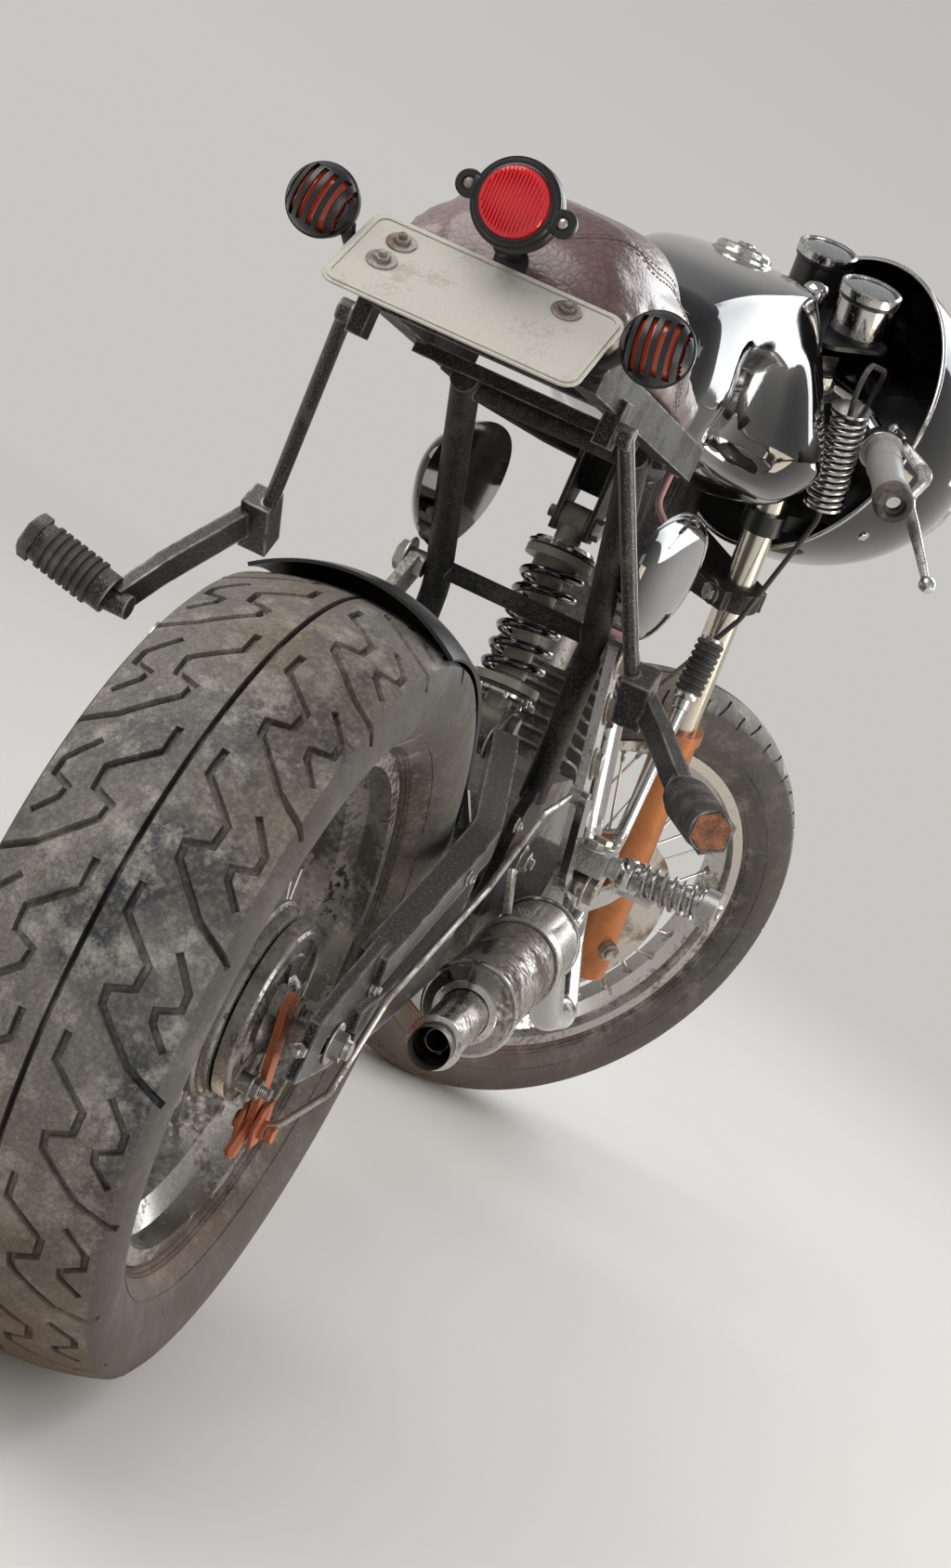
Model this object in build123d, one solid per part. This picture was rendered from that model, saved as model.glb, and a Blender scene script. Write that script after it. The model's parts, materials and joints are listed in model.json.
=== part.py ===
# Cafe racer motorcycle, standing on its side stand with the bars turned to the right stop.
# Every piece is drawn on the upright motorcycle with its wheels in line: x forward,
# y to the rider's left, z up, millimetres, the rear axle above x = 0 and the ground at z = 0.
# The fork is then turned on its steering axis, and the whole machine is leaned on its stand.

import os
from math import asin, atan2, cos, degrees, pi, radians, sin, sqrt

from build123d import *

# Overall sizes
wheelbase = 1350.0
rake = 23.3            # steering axis, degrees from upright
fork_offset = 44.0     # leg axes ahead of the steering axis
leg_spread = 104.0     # half the distance between the fork legs
lock_angle = 43.7      # steering to either stop
lean_angle = 9.0       # on the side stand, to the left

# Wheels and tyres
rear_radius = 309.7
rear_crown = 217.0     # radius of the worn tread across the tyre
rear_half = 90.0
rear_flange = 213.0
rear_rim_half = 56.0
front_radius = 308.8
front_crown = 58.0
front_half = 46.0
front_flange = 229.0
front_rim_half = 27.0
bead_drop = 10.0       # flange height over the bead seat
well_drop = 26.0       # flange height over the rim well
rim_wall = 3.0
tyre_wall = 9.0
seat_gap = 0.3         # between a tyre and its rim, and wherever soft meets hard
spoke_radius = 1.7
spoke_shift = 2.2      # crossing spokes pass on either side of the flange
spoke_pairs = 9        # on each flange, two spokes to a pair

# Axles, hubs and chain
axle_radius = 7.0
running_gap = 0.05
drum_radius = 74.0
drum_face = -54.0      # open side of the brake drum
plate_gap = 2.0
plate_face = -66.0
nut_radius = 12.0
nut_height = 10.0
chain_line = 103.0     # outside the tyre
chain_pitch = 12.7
sprocket_wall = 5.0
rear_teeth = 40
front_teeth = 14
chain_height = 11.0
chain_width = 14.0
disc_radius = 118.0
disc_line = -58.0
disc_wall = 4.0

# Frame
head_radius = 28.0
stem_radius = 15.0
head_bottom = 500.0    # along the steering axis, above the front axle
head_top = 695.0
tube_radius = 13.0
spine_height = 52.0
spine_width = 34.0
pivot_x = 575.0
pivot_z = 415.0
upright_line = 80.0    # centre of the uprights, from the middle
arm_right = -112.0     # centre of the swingarm beside the wheel
arm_left = 126.0       # outside the chain
arm_height = 42.0
arm_width = 24.0
brace_height = 26.0
arm_end_wall = 10.0    # plates that hold the axle
rail_height = 30.0
rail_width = 22.0

# Engine
cylinder_lean = 16.0
fin_reach = 68.0
exhaust_y = -40.0

tap_at = (706.0, -50.0, 822.0)

# Fork
tube_fork_radius = 17.5
slider_radius = 24.0
slider_bottom = -48.0
slider_top = 300.0
lower_yoke = 478.0     # middle of the lower yoke, above the axle
upper_yoke = 716.0
yoke_height = 24.0
fork_top = 742.0

# Hoses
hose_radius = 3.5
hose_bend = 21.0       # three diameters, a limp rubber hose
brake_line_radius = 3.0
brake_line_bend = 30.0 # five diameters

# Cockpit
bar_radius = 11.0
grip_radius = 17.0
cowl_radius = 178.0
cowl_depth = 185.0
cowl_wall = 3.0
cowl_tilt = 1.6
lamp = 84.0
gauge_radius = 30.0
gauge_height = 55.0

# Bodywork
tank_gap = 6.0         # between the tank and the frame in its tunnel
seat_half = 118.0
seat_base = 838.0
plate_width = 203.0
plate_height = 100.0
plate_wall = 1.5
plate_tilt = 51.3      # top edge leaning forward, from upright

os.makedirs("parts", exist_ok=True)

rake_rad = radians(rake)
up_fork = Vector(-sin(rake_rad), 0, cos(rake_rad))
ahead_fork = Vector(cos(rake_rad), 0, sin(rake_rad))
rear_axle_at = Vector(0, 0, rear_radius)
front_axle_at = Vector(wheelbase, 0, front_radius)
stem_foot = front_axle_at - ahead_fork * fork_offset
steering_axis = Axis(stem_foot, up_fork)


def fork_at(forward, left, height):
    """A point given from the steering axis: forward, left, and up along it from the axle."""
    return stem_foot + ahead_fork * forward + Vector(0, left, 0) + up_fork * height


def rod(start, end, radius):
    """A round bar between two points."""
    start = Vector(*start) if isinstance(start, tuple) else start
    end = Vector(*end) if isinstance(end, tuple) else end
    way = end - start
    return extrude(Plane(start, z_dir=way) * Circle(radius), way.length)


def ring(start, end, radius, bore):
    """A round tube between two points."""
    start = Vector(*start) if isinstance(start, tuple) else start
    end = Vector(*end) if isinstance(end, tuple) else end
    way = end - start
    return extrude(Plane(start, z_dir=way) * (Circle(radius) - Circle(bore)), way.length)


def beam(start, end, width, height, across=(0, 1, 0)):
    """A square bar between two points, its width along across."""
    start = Vector(*start)
    way = Vector(*end) - start
    return extrude(Plane(start, x_dir=across, z_dir=way) * Rectangle(width, height), way.length)


def bent_tube(points, radius, bend):
    """A round tube along points with round bends."""
    path = FilletPolyline(*points, radius=bend)
    return sweep(Plane(path @ 0, z_dir=path % 0) * Circle(radius), path=path)


def bent_bar(points, width, height, bend):
    """A square bar along points with round bends, its width across the motorcycle."""
    path = FilletPolyline(*points, radius=bend)
    start = Plane(path @ 0, x_dir=(0, 1, 0), z_dir=path % 0)
    return sweep(start * Rectangle(width, height), path=path)


def spun(outline, centre):
    """A ring turned about a wheel's axle from an outline of radius and distance to the left."""
    return Pos(*centre) * revolve(outline, Axis.Y)


def polygon(*points):
    return make_face(Polyline(*points, close=True))


def plate(outline, y, wall):
    """A flat plate from points of x and z, standing at y, its wall centred there."""
    face = make_face(Polyline(*[(x, 0, z) for x, z in outline], close=True))
    return Pos(0, y - wall / 2, 0) * extrude(face, wall, dir=(0, 1, 0))


def dome(radius, height):
    """The cap of a ball: its flat face at the origin, its crown up the z axis."""
    ball = (radius**2 + height**2) / (2 * height)
    return Pos(0, 0, height - ball) * Sphere(ball) & Pos(0, 0, 2 * ball) * Box(
        4 * ball, 4 * ball, 4 * ball
    )


def both(piece):
    """A piece of the right side with its twin on the left."""
    return Compound(children=[piece.solid(), mirror(piece, about=Plane.XZ).solid()])


def joined(*pieces):
    whole = pieces[0]
    for piece in pieces[1:]:
        whole = whole + piece
    return whole


parts = {}


# Wheels
def tyre(radius, crown, half, flange, rim_half):
    """A carcass: crowned tread, round shoulders and side walls down to the beads."""

    def skin(depth):
        outer = radius - depth
        wide = half - depth
        foot = rim_half - seat_gap - depth
        bead = flange - bead_drop + seat_gap - depth / 3
        drop = crown - sqrt(crown**2 - (wide * 0.94) ** 2)
        middle = (radius + flange) / 2
        over = flange + 2
        edges = Curve() + [
            Line((bead, -foot), (over, -foot)),
            ThreePointArc((over, -foot), (middle, -wide), (outer - drop, -wide * 0.94)),
            ThreePointArc((outer - drop, -wide * 0.94), (outer, 0), (outer - drop, wide * 0.94)),
            ThreePointArc((outer - drop, wide * 0.94), (middle, wide), (over, foot)),
            Line((over, foot), (bead, foot)),
            Line((bead, foot), (bead, -foot)),
        ]
        return make_face(edges)

    return skin(0) - skin(tyre_wall)


def rim(flange, half):
    """A drop-centre rim: flanges, bead seats and a well, of one wall."""
    bead = flange - bead_drop
    well = flange - well_drop
    seat = half - min(16.0, half * 0.45)
    slope = seat - min(12.0, half * 0.3)
    return polygon(
        (flange, half),
        (bead, half),
        (bead, seat),
        (well, slope),
        (well, -slope),
        (bead, -seat),
        (bead, -half),
        (flange, -half),
        (flange, -half - rim_wall),
        (bead - rim_wall, -half - rim_wall),
        (bead - rim_wall, -seat),
        (well - rim_wall, -slope),
        (well - rim_wall, slope),
        (bead - rim_wall, seat),
        (bead - rim_wall, half + rim_wall),
        (flange, half + rim_wall),
    )


def spokes(centre, nipple_radius, flanges):
    """Crossed spokes from two hub flanges, each given as (y, start radius, lean in degrees)."""
    laced = []
    for side, (y, flange_radius, lean) in enumerate(flanges):
        for pair in range(spoke_pairs):
            for way in (-1, 1):
                start = 360 / spoke_pairs * (pair + side * 0.25 + way * 0.25)
                inner = radians(start + way * lean)
                outer = radians(start)
                shift = way * spoke_shift
                hub_end = Vector(flange_radius * cos(inner), y + shift, flange_radius * sin(inner))
                rim_y = y * 0.1 + shift
                rim_end = Vector(nipple_radius * cos(outer), rim_y, nipple_radius * sin(outer))
                laced.append(rod(centre + hub_end, centre + rim_end, spoke_radius).solid())
    return Compound(children=laced)


def add_rear_wheel():
    parts["rear_tyre"] = spun(
        tyre(rear_radius, rear_crown, rear_half, rear_flange, rear_rim_half), rear_axle_at
    )
    parts["rear_rim"] = spun(rim(rear_flange, rear_rim_half), rear_axle_at)
    bore = axle_radius + running_gap
    flange_y = 46.0
    hub = polygon(
        (bore, -30),
        (drum_radius - 9, -30),
        (drum_radius - 9, drum_face),
        (drum_radius, drum_face),
        (drum_radius, -30),
        (drum_radius + 5, -29),
        (drum_radius + 5, -24),
        (drum_radius - 6, -20),
        (38, 10),
        (34, flange_y - 8),
        (56, flange_y - 4),
        (56, flange_y + 2),
        (32, flange_y + 6),
        (32, chain_line - 14),
        (50, chain_line - 11),
        (50, chain_line - sprocket_wall / 2),
        (bore, chain_line - sprocket_wall / 2),
    )
    parts["rear_hub"] = spun(hub, rear_axle_at)
    flanges = [(-26.5, drum_radius + 6.9, 38), (flange_y - 1, 58, 48)]
    nipple = rear_flange - well_drop - rim_wall - seat_gap
    parts["rear_spokes"] = spokes(rear_axle_at, nipple, flanges)
    parts["rear_sprocket"] = sprocket(rear_teeth, 22.0, rear_axle_at, chain_line, sprocket_wall)


def sprocket(teeth, bore, centre, y, wall):
    """A toothed wheel for the chain, its teeth as small trapezoids on the root circle."""
    pitch_radius = chain_pitch / 2 / sin(pi / teeth)
    root = pitch_radius - 4.2
    tip = pitch_radius + 3.0
    outline = []
    for tooth in range(teeth):
        middle = 2 * pi * tooth / teeth
        for share, radius in ((-0.30, root), (-0.10, tip), (0.10, tip), (0.30, root)):
            angle = middle + share * 2 * pi / teeth
            outline.append((radius * cos(angle), 0, radius * sin(angle)))
    face = make_face(Polyline(*outline, close=True))
    wheel = extrude(face, wall, dir=(0, 1, 0))
    wheel = wheel - Pos(0, wall / 2, 0) * Rot(90, 0, 0) * Cylinder(bore, wall * 2)
    return Pos(centre.X, y - wall / 2, centre.Z) * wheel


def add_front_wheel():
    parts["front_tyre"] = spun(
        tyre(front_radius, front_crown, front_half, front_flange, front_rim_half), front_axle_at
    )
    parts["front_rim"] = spun(rim(front_flange, front_rim_half), front_axle_at)
    bore = axle_radius + running_gap
    flange_y = 26.0
    hub = polygon(
        (bore, -50),
        (40, -50),
        (40, -44),
        (24, -40),
        (24, -flange_y - 4),
        (34, -flange_y - 2),
        (34, 4 - flange_y),
        (20, 9 - flange_y),
        (20, flange_y - 9),
        (34, flange_y - 4),
        (34, flange_y + 2),
        (24, flange_y + 4),
        (24, 46),
        (bore, 46),
    )
    parts["front_hub"] = spun(hub, front_axle_at)
    flanges = [(1 - flange_y, 36, 60), (flange_y - 1, 36, 60)]
    nipple = front_flange - well_drop - rim_wall - seat_gap
    parts["front_spokes"] = spokes(front_axle_at, nipple, flanges)
    disc = Rot(90, 0, 0) * (
        Cylinder(disc_radius, disc_wall) - Cylinder(24.5, disc_wall * 2)
    )
    for window in range(6):
        angle = radians(60 * window)
        hole = Rot(90, 0, 0) * Cylinder(17, disc_wall * 2)
        disc = disc - Pos(58 * cos(angle), 0, 58 * sin(angle)) * hole
    parts["front_disc"] = Pos(wheelbase, disc_line + disc_wall / 2 + 3.7, front_radius) * disc


def add_rear_axle():
    """The spindle with its nuts, and the collar that holds the wheel off the left arm."""
    half = arm_end_wall / 2 + seat_gap
    ends = (arm_right - half, arm_left + half)
    shaft = rod(
        rear_axle_at + Vector(0, ends[0] - 14, 0), rear_axle_at + Vector(0, ends[1] + 14, 0), axle_radius
    )
    for y, side in zip(ends, (-1, 1)):
        nut = Plane(rear_axle_at + Vector(0, y, 0), z_dir=(0, side, 0)) * RegularPolygon(nut_radius, 6)
        shaft = shaft + extrude(nut, nut_height)
    collar = ring(
        rear_axle_at + Vector(0, chain_line - sprocket_wall / 2 + 0.4, 0),
        rear_axle_at + Vector(0, arm_left - half, 0),
        12,
        axle_radius,
    )
    parts["rear_axle"] = shaft + collar


# Frame and running gear
def add_main_frame():
    head = rod(fork_at(0, 0, head_bottom), fork_at(0, 0, head_top), head_radius)
    spine = beam((wheelbase - 314, 0, 893), (612, 0, 776), spine_width, spine_height)
    down = bent_tube(
        [(wheelbase - 278, 0, 838), (wheelbase - 316, 0, 640), (1012, 0, 470)], 17.0, 120
    )
    pieces = [head, spine, down]
    gusset = [(-300, 862), (-352, 862), (-304, 720), (-298, 740)]
    pieces.append(plate([(wheelbase + x, z) for x, z in gusset], 0, 8))
    pieces.append(plate([(1014, 482), (1016, 452), (950.3, 330), (950.3, 372), (990, 470)], 0, 30))
    pieces.append(plate([(600, 378), (631.7, 374), (631.7, 350), (600, 356)], 0, 60))
    for x, z in ((905, 857), (640, 784)):
        wide = spine_width / 2 + tank_gap - seat_gap
        pieces.append(rod((x, -wide, z), (x, wide, z), 12))
    for side in (-1, 1):
        y = side * upright_line
        stay = bent_tube(
            [(650, side * 20, 788), (560, side * 45, 790), (430, y, 797), (322, y, 800)],
            tube_radius,
            60,
        )
        upright = bent_tube(
            [(330, y, 800), (545, y, 618), (pivot_x + 7, y, 470)], tube_radius, 50
        )
        lower = plate(
            [
                (pivot_x - 30, pivot_z - 62),
                (pivot_x - 30, pivot_z + 40),
                (pivot_x + 4, pivot_z + 78),
                (pivot_x + 44, pivot_z + 50),
                (pivot_x + 48, pivot_z - 62),
            ],
            y,
            12,
        )
        pieces += [stay, upright, lower]
    reach = upright_line
    for x, z, radius in ((526, 634, 9), (340, 795, 10), (pivot_x + 34, pivot_z - 48, 11)):
        pieces.append(rod((x, -reach, z), (x, reach, z), radius))
    for y in (shock_top[1] - 17, shock_top[1] + 17):
        pieces.append(plate([(575, 790), (655, 800), (612, 708), (582, 708)], y, 5))
    pieces.append(plate([(560, 366), (640, 366), (624, 296), (578, 296)], stand_pivot.Y - 13, 7))
    bridge = [(560, 366), (612, 366), (612, 346), (560, 346)]
    pieces.append(plate(bridge, (stand_pivot.Y + reach) / 2 - 7, 18))
    frame = joined(*pieces)
    frame = frame - rod((pivot_x, -120, pivot_z), (pivot_x, 120, pivot_z), 8.3)
    frame = frame - rod((shock_top[0], -60, shock_top[2]), (shock_top[0], 60, shock_top[2]), 6.3)
    frame = frame - rod(fork_at(0, 0, head_bottom - 60), fork_at(0, 0, head_top + 60), stem_radius + 5)
    bolt = rod(stand_pivot - Vector(0, 14, 0), stand_pivot + Vector(0, 12, 0), 6.0)
    head = Plane(stand_pivot + Vector(0, 9.5, 0), z_dir=(0, 1, 0)) * RegularPolygon(11, 6)
    parts["main_frame"] = frame + bolt + extrude(head, 7)


shock_bottom = (562.0, -16.0, 525.0)
shock_top = (597.0, -5.0, 723.0)


def add_seat_subframe():
    pieces = []
    for side in (-1, 1):
        pieces.append(beam((-30, side * 92, 838), (405, side * 108, 813), rail_width, rail_height))
        pieces.append(rod((340, side * (upright_line + tube_radius + 0.3), 803), (340, side * 104, 806), 9))
        pieces.append(beam((60, side * 104, 830), (60, side * 104, 792), 14, 22, (0, 1, 0)))
    pieces.append(beam((215, -98, 806), (215, 98, 806), 30, 12, (1, 0, 0)))
    pieces.append(beam((66, -98, 822), (66, 98, 822), 34, 10, (1, 0, 0)))
    pieces.append(rod((-20, -98, 838), (-20, 98, 838), 10))
    parts["seat_subframe"] = joined(*pieces)


def add_swingarm():
    inn = 52.0
    pieces = [rod((pivot_x, -66, pivot_z), (pivot_x, 66, pivot_z), 20)]
    for side, out in ((-1, arm_right), (1, arm_left)):
        lower = bent_bar(
            [(28, out, 314), (250, out, 362), (430, side * 78, 388), (pivot_x - 8, side * inn, pivot_z)],
            arm_width,
            arm_height,
            90,
        )
        upper = bent_bar(
            [(38, out, 366), (255, out, 462), (420, side * 68, 505), (512, side * 46, 511)],
            arm_width,
            brace_height,
            80,
        )
        end = plate(
            [(-62, 284), (-62, 332), (-24, 356), (44, 390), (72, 372), (72, 304), (30, 286)],
            out,
            arm_end_wall,
        )
        web = plate([(500, 508), (528, 512), (592, 430), (560, 405), (500, 430)], side * inn, 8)
        pieces += [lower, upper, end, web]
    pieces.append(rod((512, -56, 508), (512, 56, 508), 13))
    for y in (shock_bottom[1] - 17, shock_bottom[1] + 17):
        pieces.append(plate([(505, 515), (552, 538), (574, 538), (574, 512), (520, 492)], y, 5))
    arm = joined(*pieces)
    for y in (arm_right, arm_left):
        slot = Pos(4, y, rear_radius) * Rot(90, 0, 0) * Box(60, 2 * axle_radius + 0.6, 90)
        arm = arm - slot
    arm = arm - rod((pivot_x, -90, pivot_z), (pivot_x, 90, pivot_z), 8.3)
    arm = arm - rod((shock_bottom[0], -60, shock_bottom[2]), (shock_bottom[0], 60, shock_bottom[2]), 6.3)
    parts["swingarm"] = arm


def add_shock():
    bottom = Vector(*shock_bottom)
    top = Vector(*shock_top)
    way = (top - bottom).normalized()
    length = (top - bottom).length
    body = rod(bottom + way * 9, bottom + way * (length - 9), 13)
    body = body + rod(bottom + way * (length - 60), bottom + way * (length - 26), 20)
    for seat in (30, length - 44):
        body = body + rod(bottom + way * seat, bottom + way * (seat + 8), 33)
    for point in (bottom, top):
        body = body + rod(point - Vector(0, 14, 0), point + Vector(0, 14, 0), 14)
        body = body - rod(point - Vector(0, 15, 0), point + Vector(0, 15, 0), 6.3)
    parts["shock_absorber"] = body
    turns = 6.0
    wire = 4.2
    coil_radius = 27.0
    rise = length - 82 - 2 * wire - 0.8
    helix = Helix(rise / turns, rise, coil_radius)
    start = Plane(helix @ 0, z_dir=helix % 0)
    coil = sweep(start * Circle(wire), path=helix, is_frenet=True)
    place = Plane(bottom + way * (38 + wire + 0.4), z_dir=way)
    parts["shock_spring"] = place.location * coil
    bolts = []
    for point in (bottom, top):
        bolt = rod(point - Vector(0, 27, 0), point + Vector(0, 27, 0), 6.0)
        head = extrude(Plane(point - Vector(0, 20, 0), z_dir=(0, -1, 0)) * RegularPolygon(11, 6), 7)
        bolts.append((bolt + head).solid())
    spindle = rod((pivot_x, -98, pivot_z), (pivot_x, 98, pivot_z), 8.0)
    for side in (-1, 1):
        face = Plane((pivot_x, side * 86.2, pivot_z), z_dir=(0, side, 0))
        spindle = spindle + extrude(face * RegularPolygon(14, 6), 9)
    bolts.append(spindle.solid())
    parts["pivot_bolts"] = Compound(children=bolts)


def add_hugger():
    """A thin crowned guard round the front of the rear tyre, held on the swingarm."""
    inner = rear_radius + 13
    wall = 2.5
    outline = Curve() + [
        ThreePointArc((inner - 26, -84), (inner + 2, 0), (inner - 26, 84)),
        Line((inner - 26, 84), (inner - 26 + wall, 86)),
        ThreePointArc((inner - 26 + wall, 86), (inner + 2 + wall, 0), (inner - 26 + wall, -86)),
        Line((inner - 26 + wall, -86), (inner - 26, -84)),
    ]
    guard = revolve(make_face(outline), Axis.Y, 78)
    guard = Pos(*rear_axle_at) * Rot(0, -94, 0) * guard
    for side, arm in ((-1, arm_right), (1, arm_left)):
        out = abs(arm) - arm_width / 2 - 2 * seat_gap
        tab = polygon((84, 491), (87, 495), (out, 472), (out, 448), (out - 4, 448), (out - 4, 468))
        tab = Pos(233, 0, 0) * extrude(Plane.YZ * tab, 8)
        guard = guard + (tab if side > 0 else mirror(tab, about=Plane.XZ))
    parts["rear_hugger"] = guard


def add_rear_brake():
    """The drum's fixed plate, with the arm on its cam and the rod that pulls it."""
    face = drum_face - plate_gap
    inner_arm = arm_right + arm_end_wall / 2
    pieces = [
        rod((0, face, rear_radius), (0, plate_face, rear_radius), drum_radius - 1),
        rod((0, plate_face, rear_radius), (0, inner_arm + seat_gap, rear_radius), 14),
        rod((-22, plate_face, 258), (-22, -80, 258), 8),
        rod((brake_cam[0], plate_face, brake_cam[2]), brake_cam, 9),
        rod(brake_cam, (brake_cam[0], brake_cam[1] - 9, brake_cam[2]), 5),
    ]
    backing = joined(*pieces)
    backing = backing - rod((0, -130, rear_radius), (0, 0, rear_radius), axle_radius + 0.1)
    parts["rear_brake_plate"] = backing
    lever = plate([(-42, 338), (-30, 338), (22, 226), (8, 220), (-46, 326)], brake_cam[1] - 3.3, 6)
    lever = lever - rod(brake_cam, (brake_cam[0], brake_cam[1] - 20, brake_cam[2]), 5.2)
    eye = rod((14, brake_cam[1] - 10, 222), (14, brake_cam[1] + 4, 222), 9)
    pull = bent_tube(
        [
            (14, brake_cam[1], 222),
            (16, -102, 230),
            (24, rod_line + 7, 268),
            (56, rod_line + 2, 346),
            (250, rod_line, 426),
            (352, rod_line, 490),
            (440, rod_line - 3, 506),
        ],
        3.0,
        13,
    )
    clevis = rod((440, rod_line + 1, 506), (440, rod_line - 8.7, 506), 7)
    parts["brake_linkage"] = joined(lever, eye, pull, clevis)


brake_cam = (-36.0, -80.0, 329.0)
rod_line = arm_right - arm_width / 2 - 9  # the brake rod's run, outside the arm


def chain_loop():
    """The chain as one band round both sprockets, clear of their teeth."""
    rear = chain_pitch / 2 / sin(pi / rear_teeth)
    front = chain_pitch / 2 / sin(pi / front_teeth)
    front_at = Vector(656.0, chain_line, 410.0)
    return rear, front, front_at


def add_chain():
    rear, front, front_at = chain_loop()
    span = Vector(front_at.X, 0, front_at.Z) - Vector(0, 0, rear_radius)
    tilt = atan2(span.Z, span.X)
    spread = asin((rear - front) / span.length)

    def band(offset, wall, y):
        outline = []
        for centre, radius, start, stop in (
            ((0, rear_radius), rear, tilt + pi / 2 - spread, tilt + 3 * pi / 2 + spread),
            ((front_at.X, front_at.Z), front, tilt - pi / 2 + spread, tilt + pi / 2 - spread),
        ):
            arc = [start, (start + stop) / 2, stop]
            outline.append(
                [
                    (
                        centre[0] + (radius + offset) * cos(angle),
                        y,
                        centre[1] + (radius + offset) * sin(angle),
                    )
                    for angle in arc
                ]
            )
        first, second = outline
        edges = Curve() + [
            ThreePointArc(*first),
            Line(first[2], second[0]),
            ThreePointArc(*second),
            Line(second[2], first[0]),
        ]
        return extrude(make_face(edges), wall, dir=(0, 1, 0))

    half = chain_height / 2
    sides = []
    for y in (chain_line - chain_width / 2, chain_line + 3.2):
        wall = chain_width / 2 - 3.2
        sides.append((band(half, wall, y) - band(-half, wall, y)).solid())
    rollers = band(half - 1.5, 6.4, chain_line - 3.2) - band(3.4, 6.4, chain_line - 3.2)
    parts["drive_chain"] = joined(*sides, rollers)
    parts["front_sprocket"] = sprocket(front_teeth, 9.0, front_at, chain_line, sprocket_wall)


def cylinder_axes():
    """The foot of the cylinder, its axis, and the way forward across it."""
    lean = radians(cylinder_lean)
    return (
        Vector(864, 0, 462),
        Vector(sin(lean), 0, cos(lean)),
        Vector(cos(lean), 0, -sin(lean)),
    )


def carburettor_mouth():
    base, axis, across = cylinder_axes()
    return base + axis * 150 - across * 70.3


def add_engine():
    base, axis, across = cylinder_axes()
    deck_back = base - across * 66
    deck_front = base + across * 64
    front_at = chain_loop()[2]
    case = plate(
        [
            (632, 300),
            (632, 440),
            (700, 478),
            (deck_back.X, deck_back.Z),
            (deck_front.X, deck_front.Z),
            (950, 400),
            (950, 300),
            (900, 250),
            (690, 250),
        ],
        0,
        146,
    )
    case = fillet(case.edges().filter_by(Axis.Y), 16)
    case = case + rod((760, -73, 345), (760, -110, 345), 74)
    case = case + rod((850, 73, 350), (850, 108, 350), 66)
    gearbox = front_at - Vector(0, front_at.Y, 0)
    case = case + rod(gearbox + Vector(0, 60, 0), gearbox + Vector(0, chain_line - 12, 0), 24)
    case = case + rod(gearbox + Vector(0, 60, 0), gearbox + Vector(0, chain_line + 8, 0), 8.9)
    parts["engine_crankcase"] = case
    barrel = rod(base, base + axis * 190, 48)
    for fin in range(11):
        level = base + axis * (14 + 15 * fin)
        reach = 2 * fin_reach if fin < 7 else 2 * fin_reach - 12
        sheet = Plane(level, x_dir=across, z_dir=axis) * RectangleRounded(reach, reach, 22)
        barrel = barrel + extrude(sheet, 3)
    head = Plane(base + axis * 182, x_dir=across, z_dir=axis) * RectangleRounded(110, 96, 20)
    barrel = barrel + extrude(head, 34)
    port = base + axis * 146 + Vector(0, exhaust_y, 0)
    barrel = barrel + rod(port + across * 30, port + across * 76, 23)
    inlet = carburettor_mouth() + across * 70.3
    barrel = barrel + rod(inlet - across * 30, inlet - across * 70, 19)
    parts["engine_cylinder"] = barrel
    mouth = carburettor_mouth()
    body = rod(mouth, mouth - across * 30, 21)
    body = body + rod(mouth - across * 20, mouth + Vector(-84, 0, 12), 24)
    body = body + rod(mouth + Vector(-40, 0, -48), mouth + Vector(-40, 0, 40), 20)
    back = Plane(mouth + Vector(-80, 0, 12), z_dir=(-1, 0, 0.1))
    parts["carburettor"] = body + back.location * Pos(0, 0, 35) * Cone(28, 36, 70)


def add_exhaust():
    base, axis, across = cylinder_axes()
    port = base + axis * 146 + Vector(0, exhaust_y, 0) + across * 76.3
    front = Vector(664, -133.4, 352)
    rear = Vector(179, -158, 306)
    way = (rear - front).normalized()
    length = (rear - front).length
    route = [
        tuple(port),
        tuple(port + across * 34),
        (1016, -72, 430),
        (990, -112, 300),
        (892, -151, 243),
        (776, -152, 256),
        tuple(front - way * 24),
        tuple(front + way * 10),
    ]
    parts["exhaust_header"] = bent_tube(route, 17.5, 34)
    body_end = length - 126
    outer = [(22, 0), (24, 12), (39, 50), (40, 54), (40, body_end), (38, body_end + 5)]
    outer += [(24, body_end + 14), (21.5, body_end + 18), (21, length)]
    inner = [(18, length), (18, body_end + 16), (36, body_end), (36, 56), (20, 16), (18.2, 0)]
    can = revolve(polygon(*outer, *inner), Axis.Y)
    along = Plane(front, x_dir=way.cross(Vector(0, 0, 1)), z_dir=way)
    parts["silencer"] = along.location * Rot(90, 0, 0) * can


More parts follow.
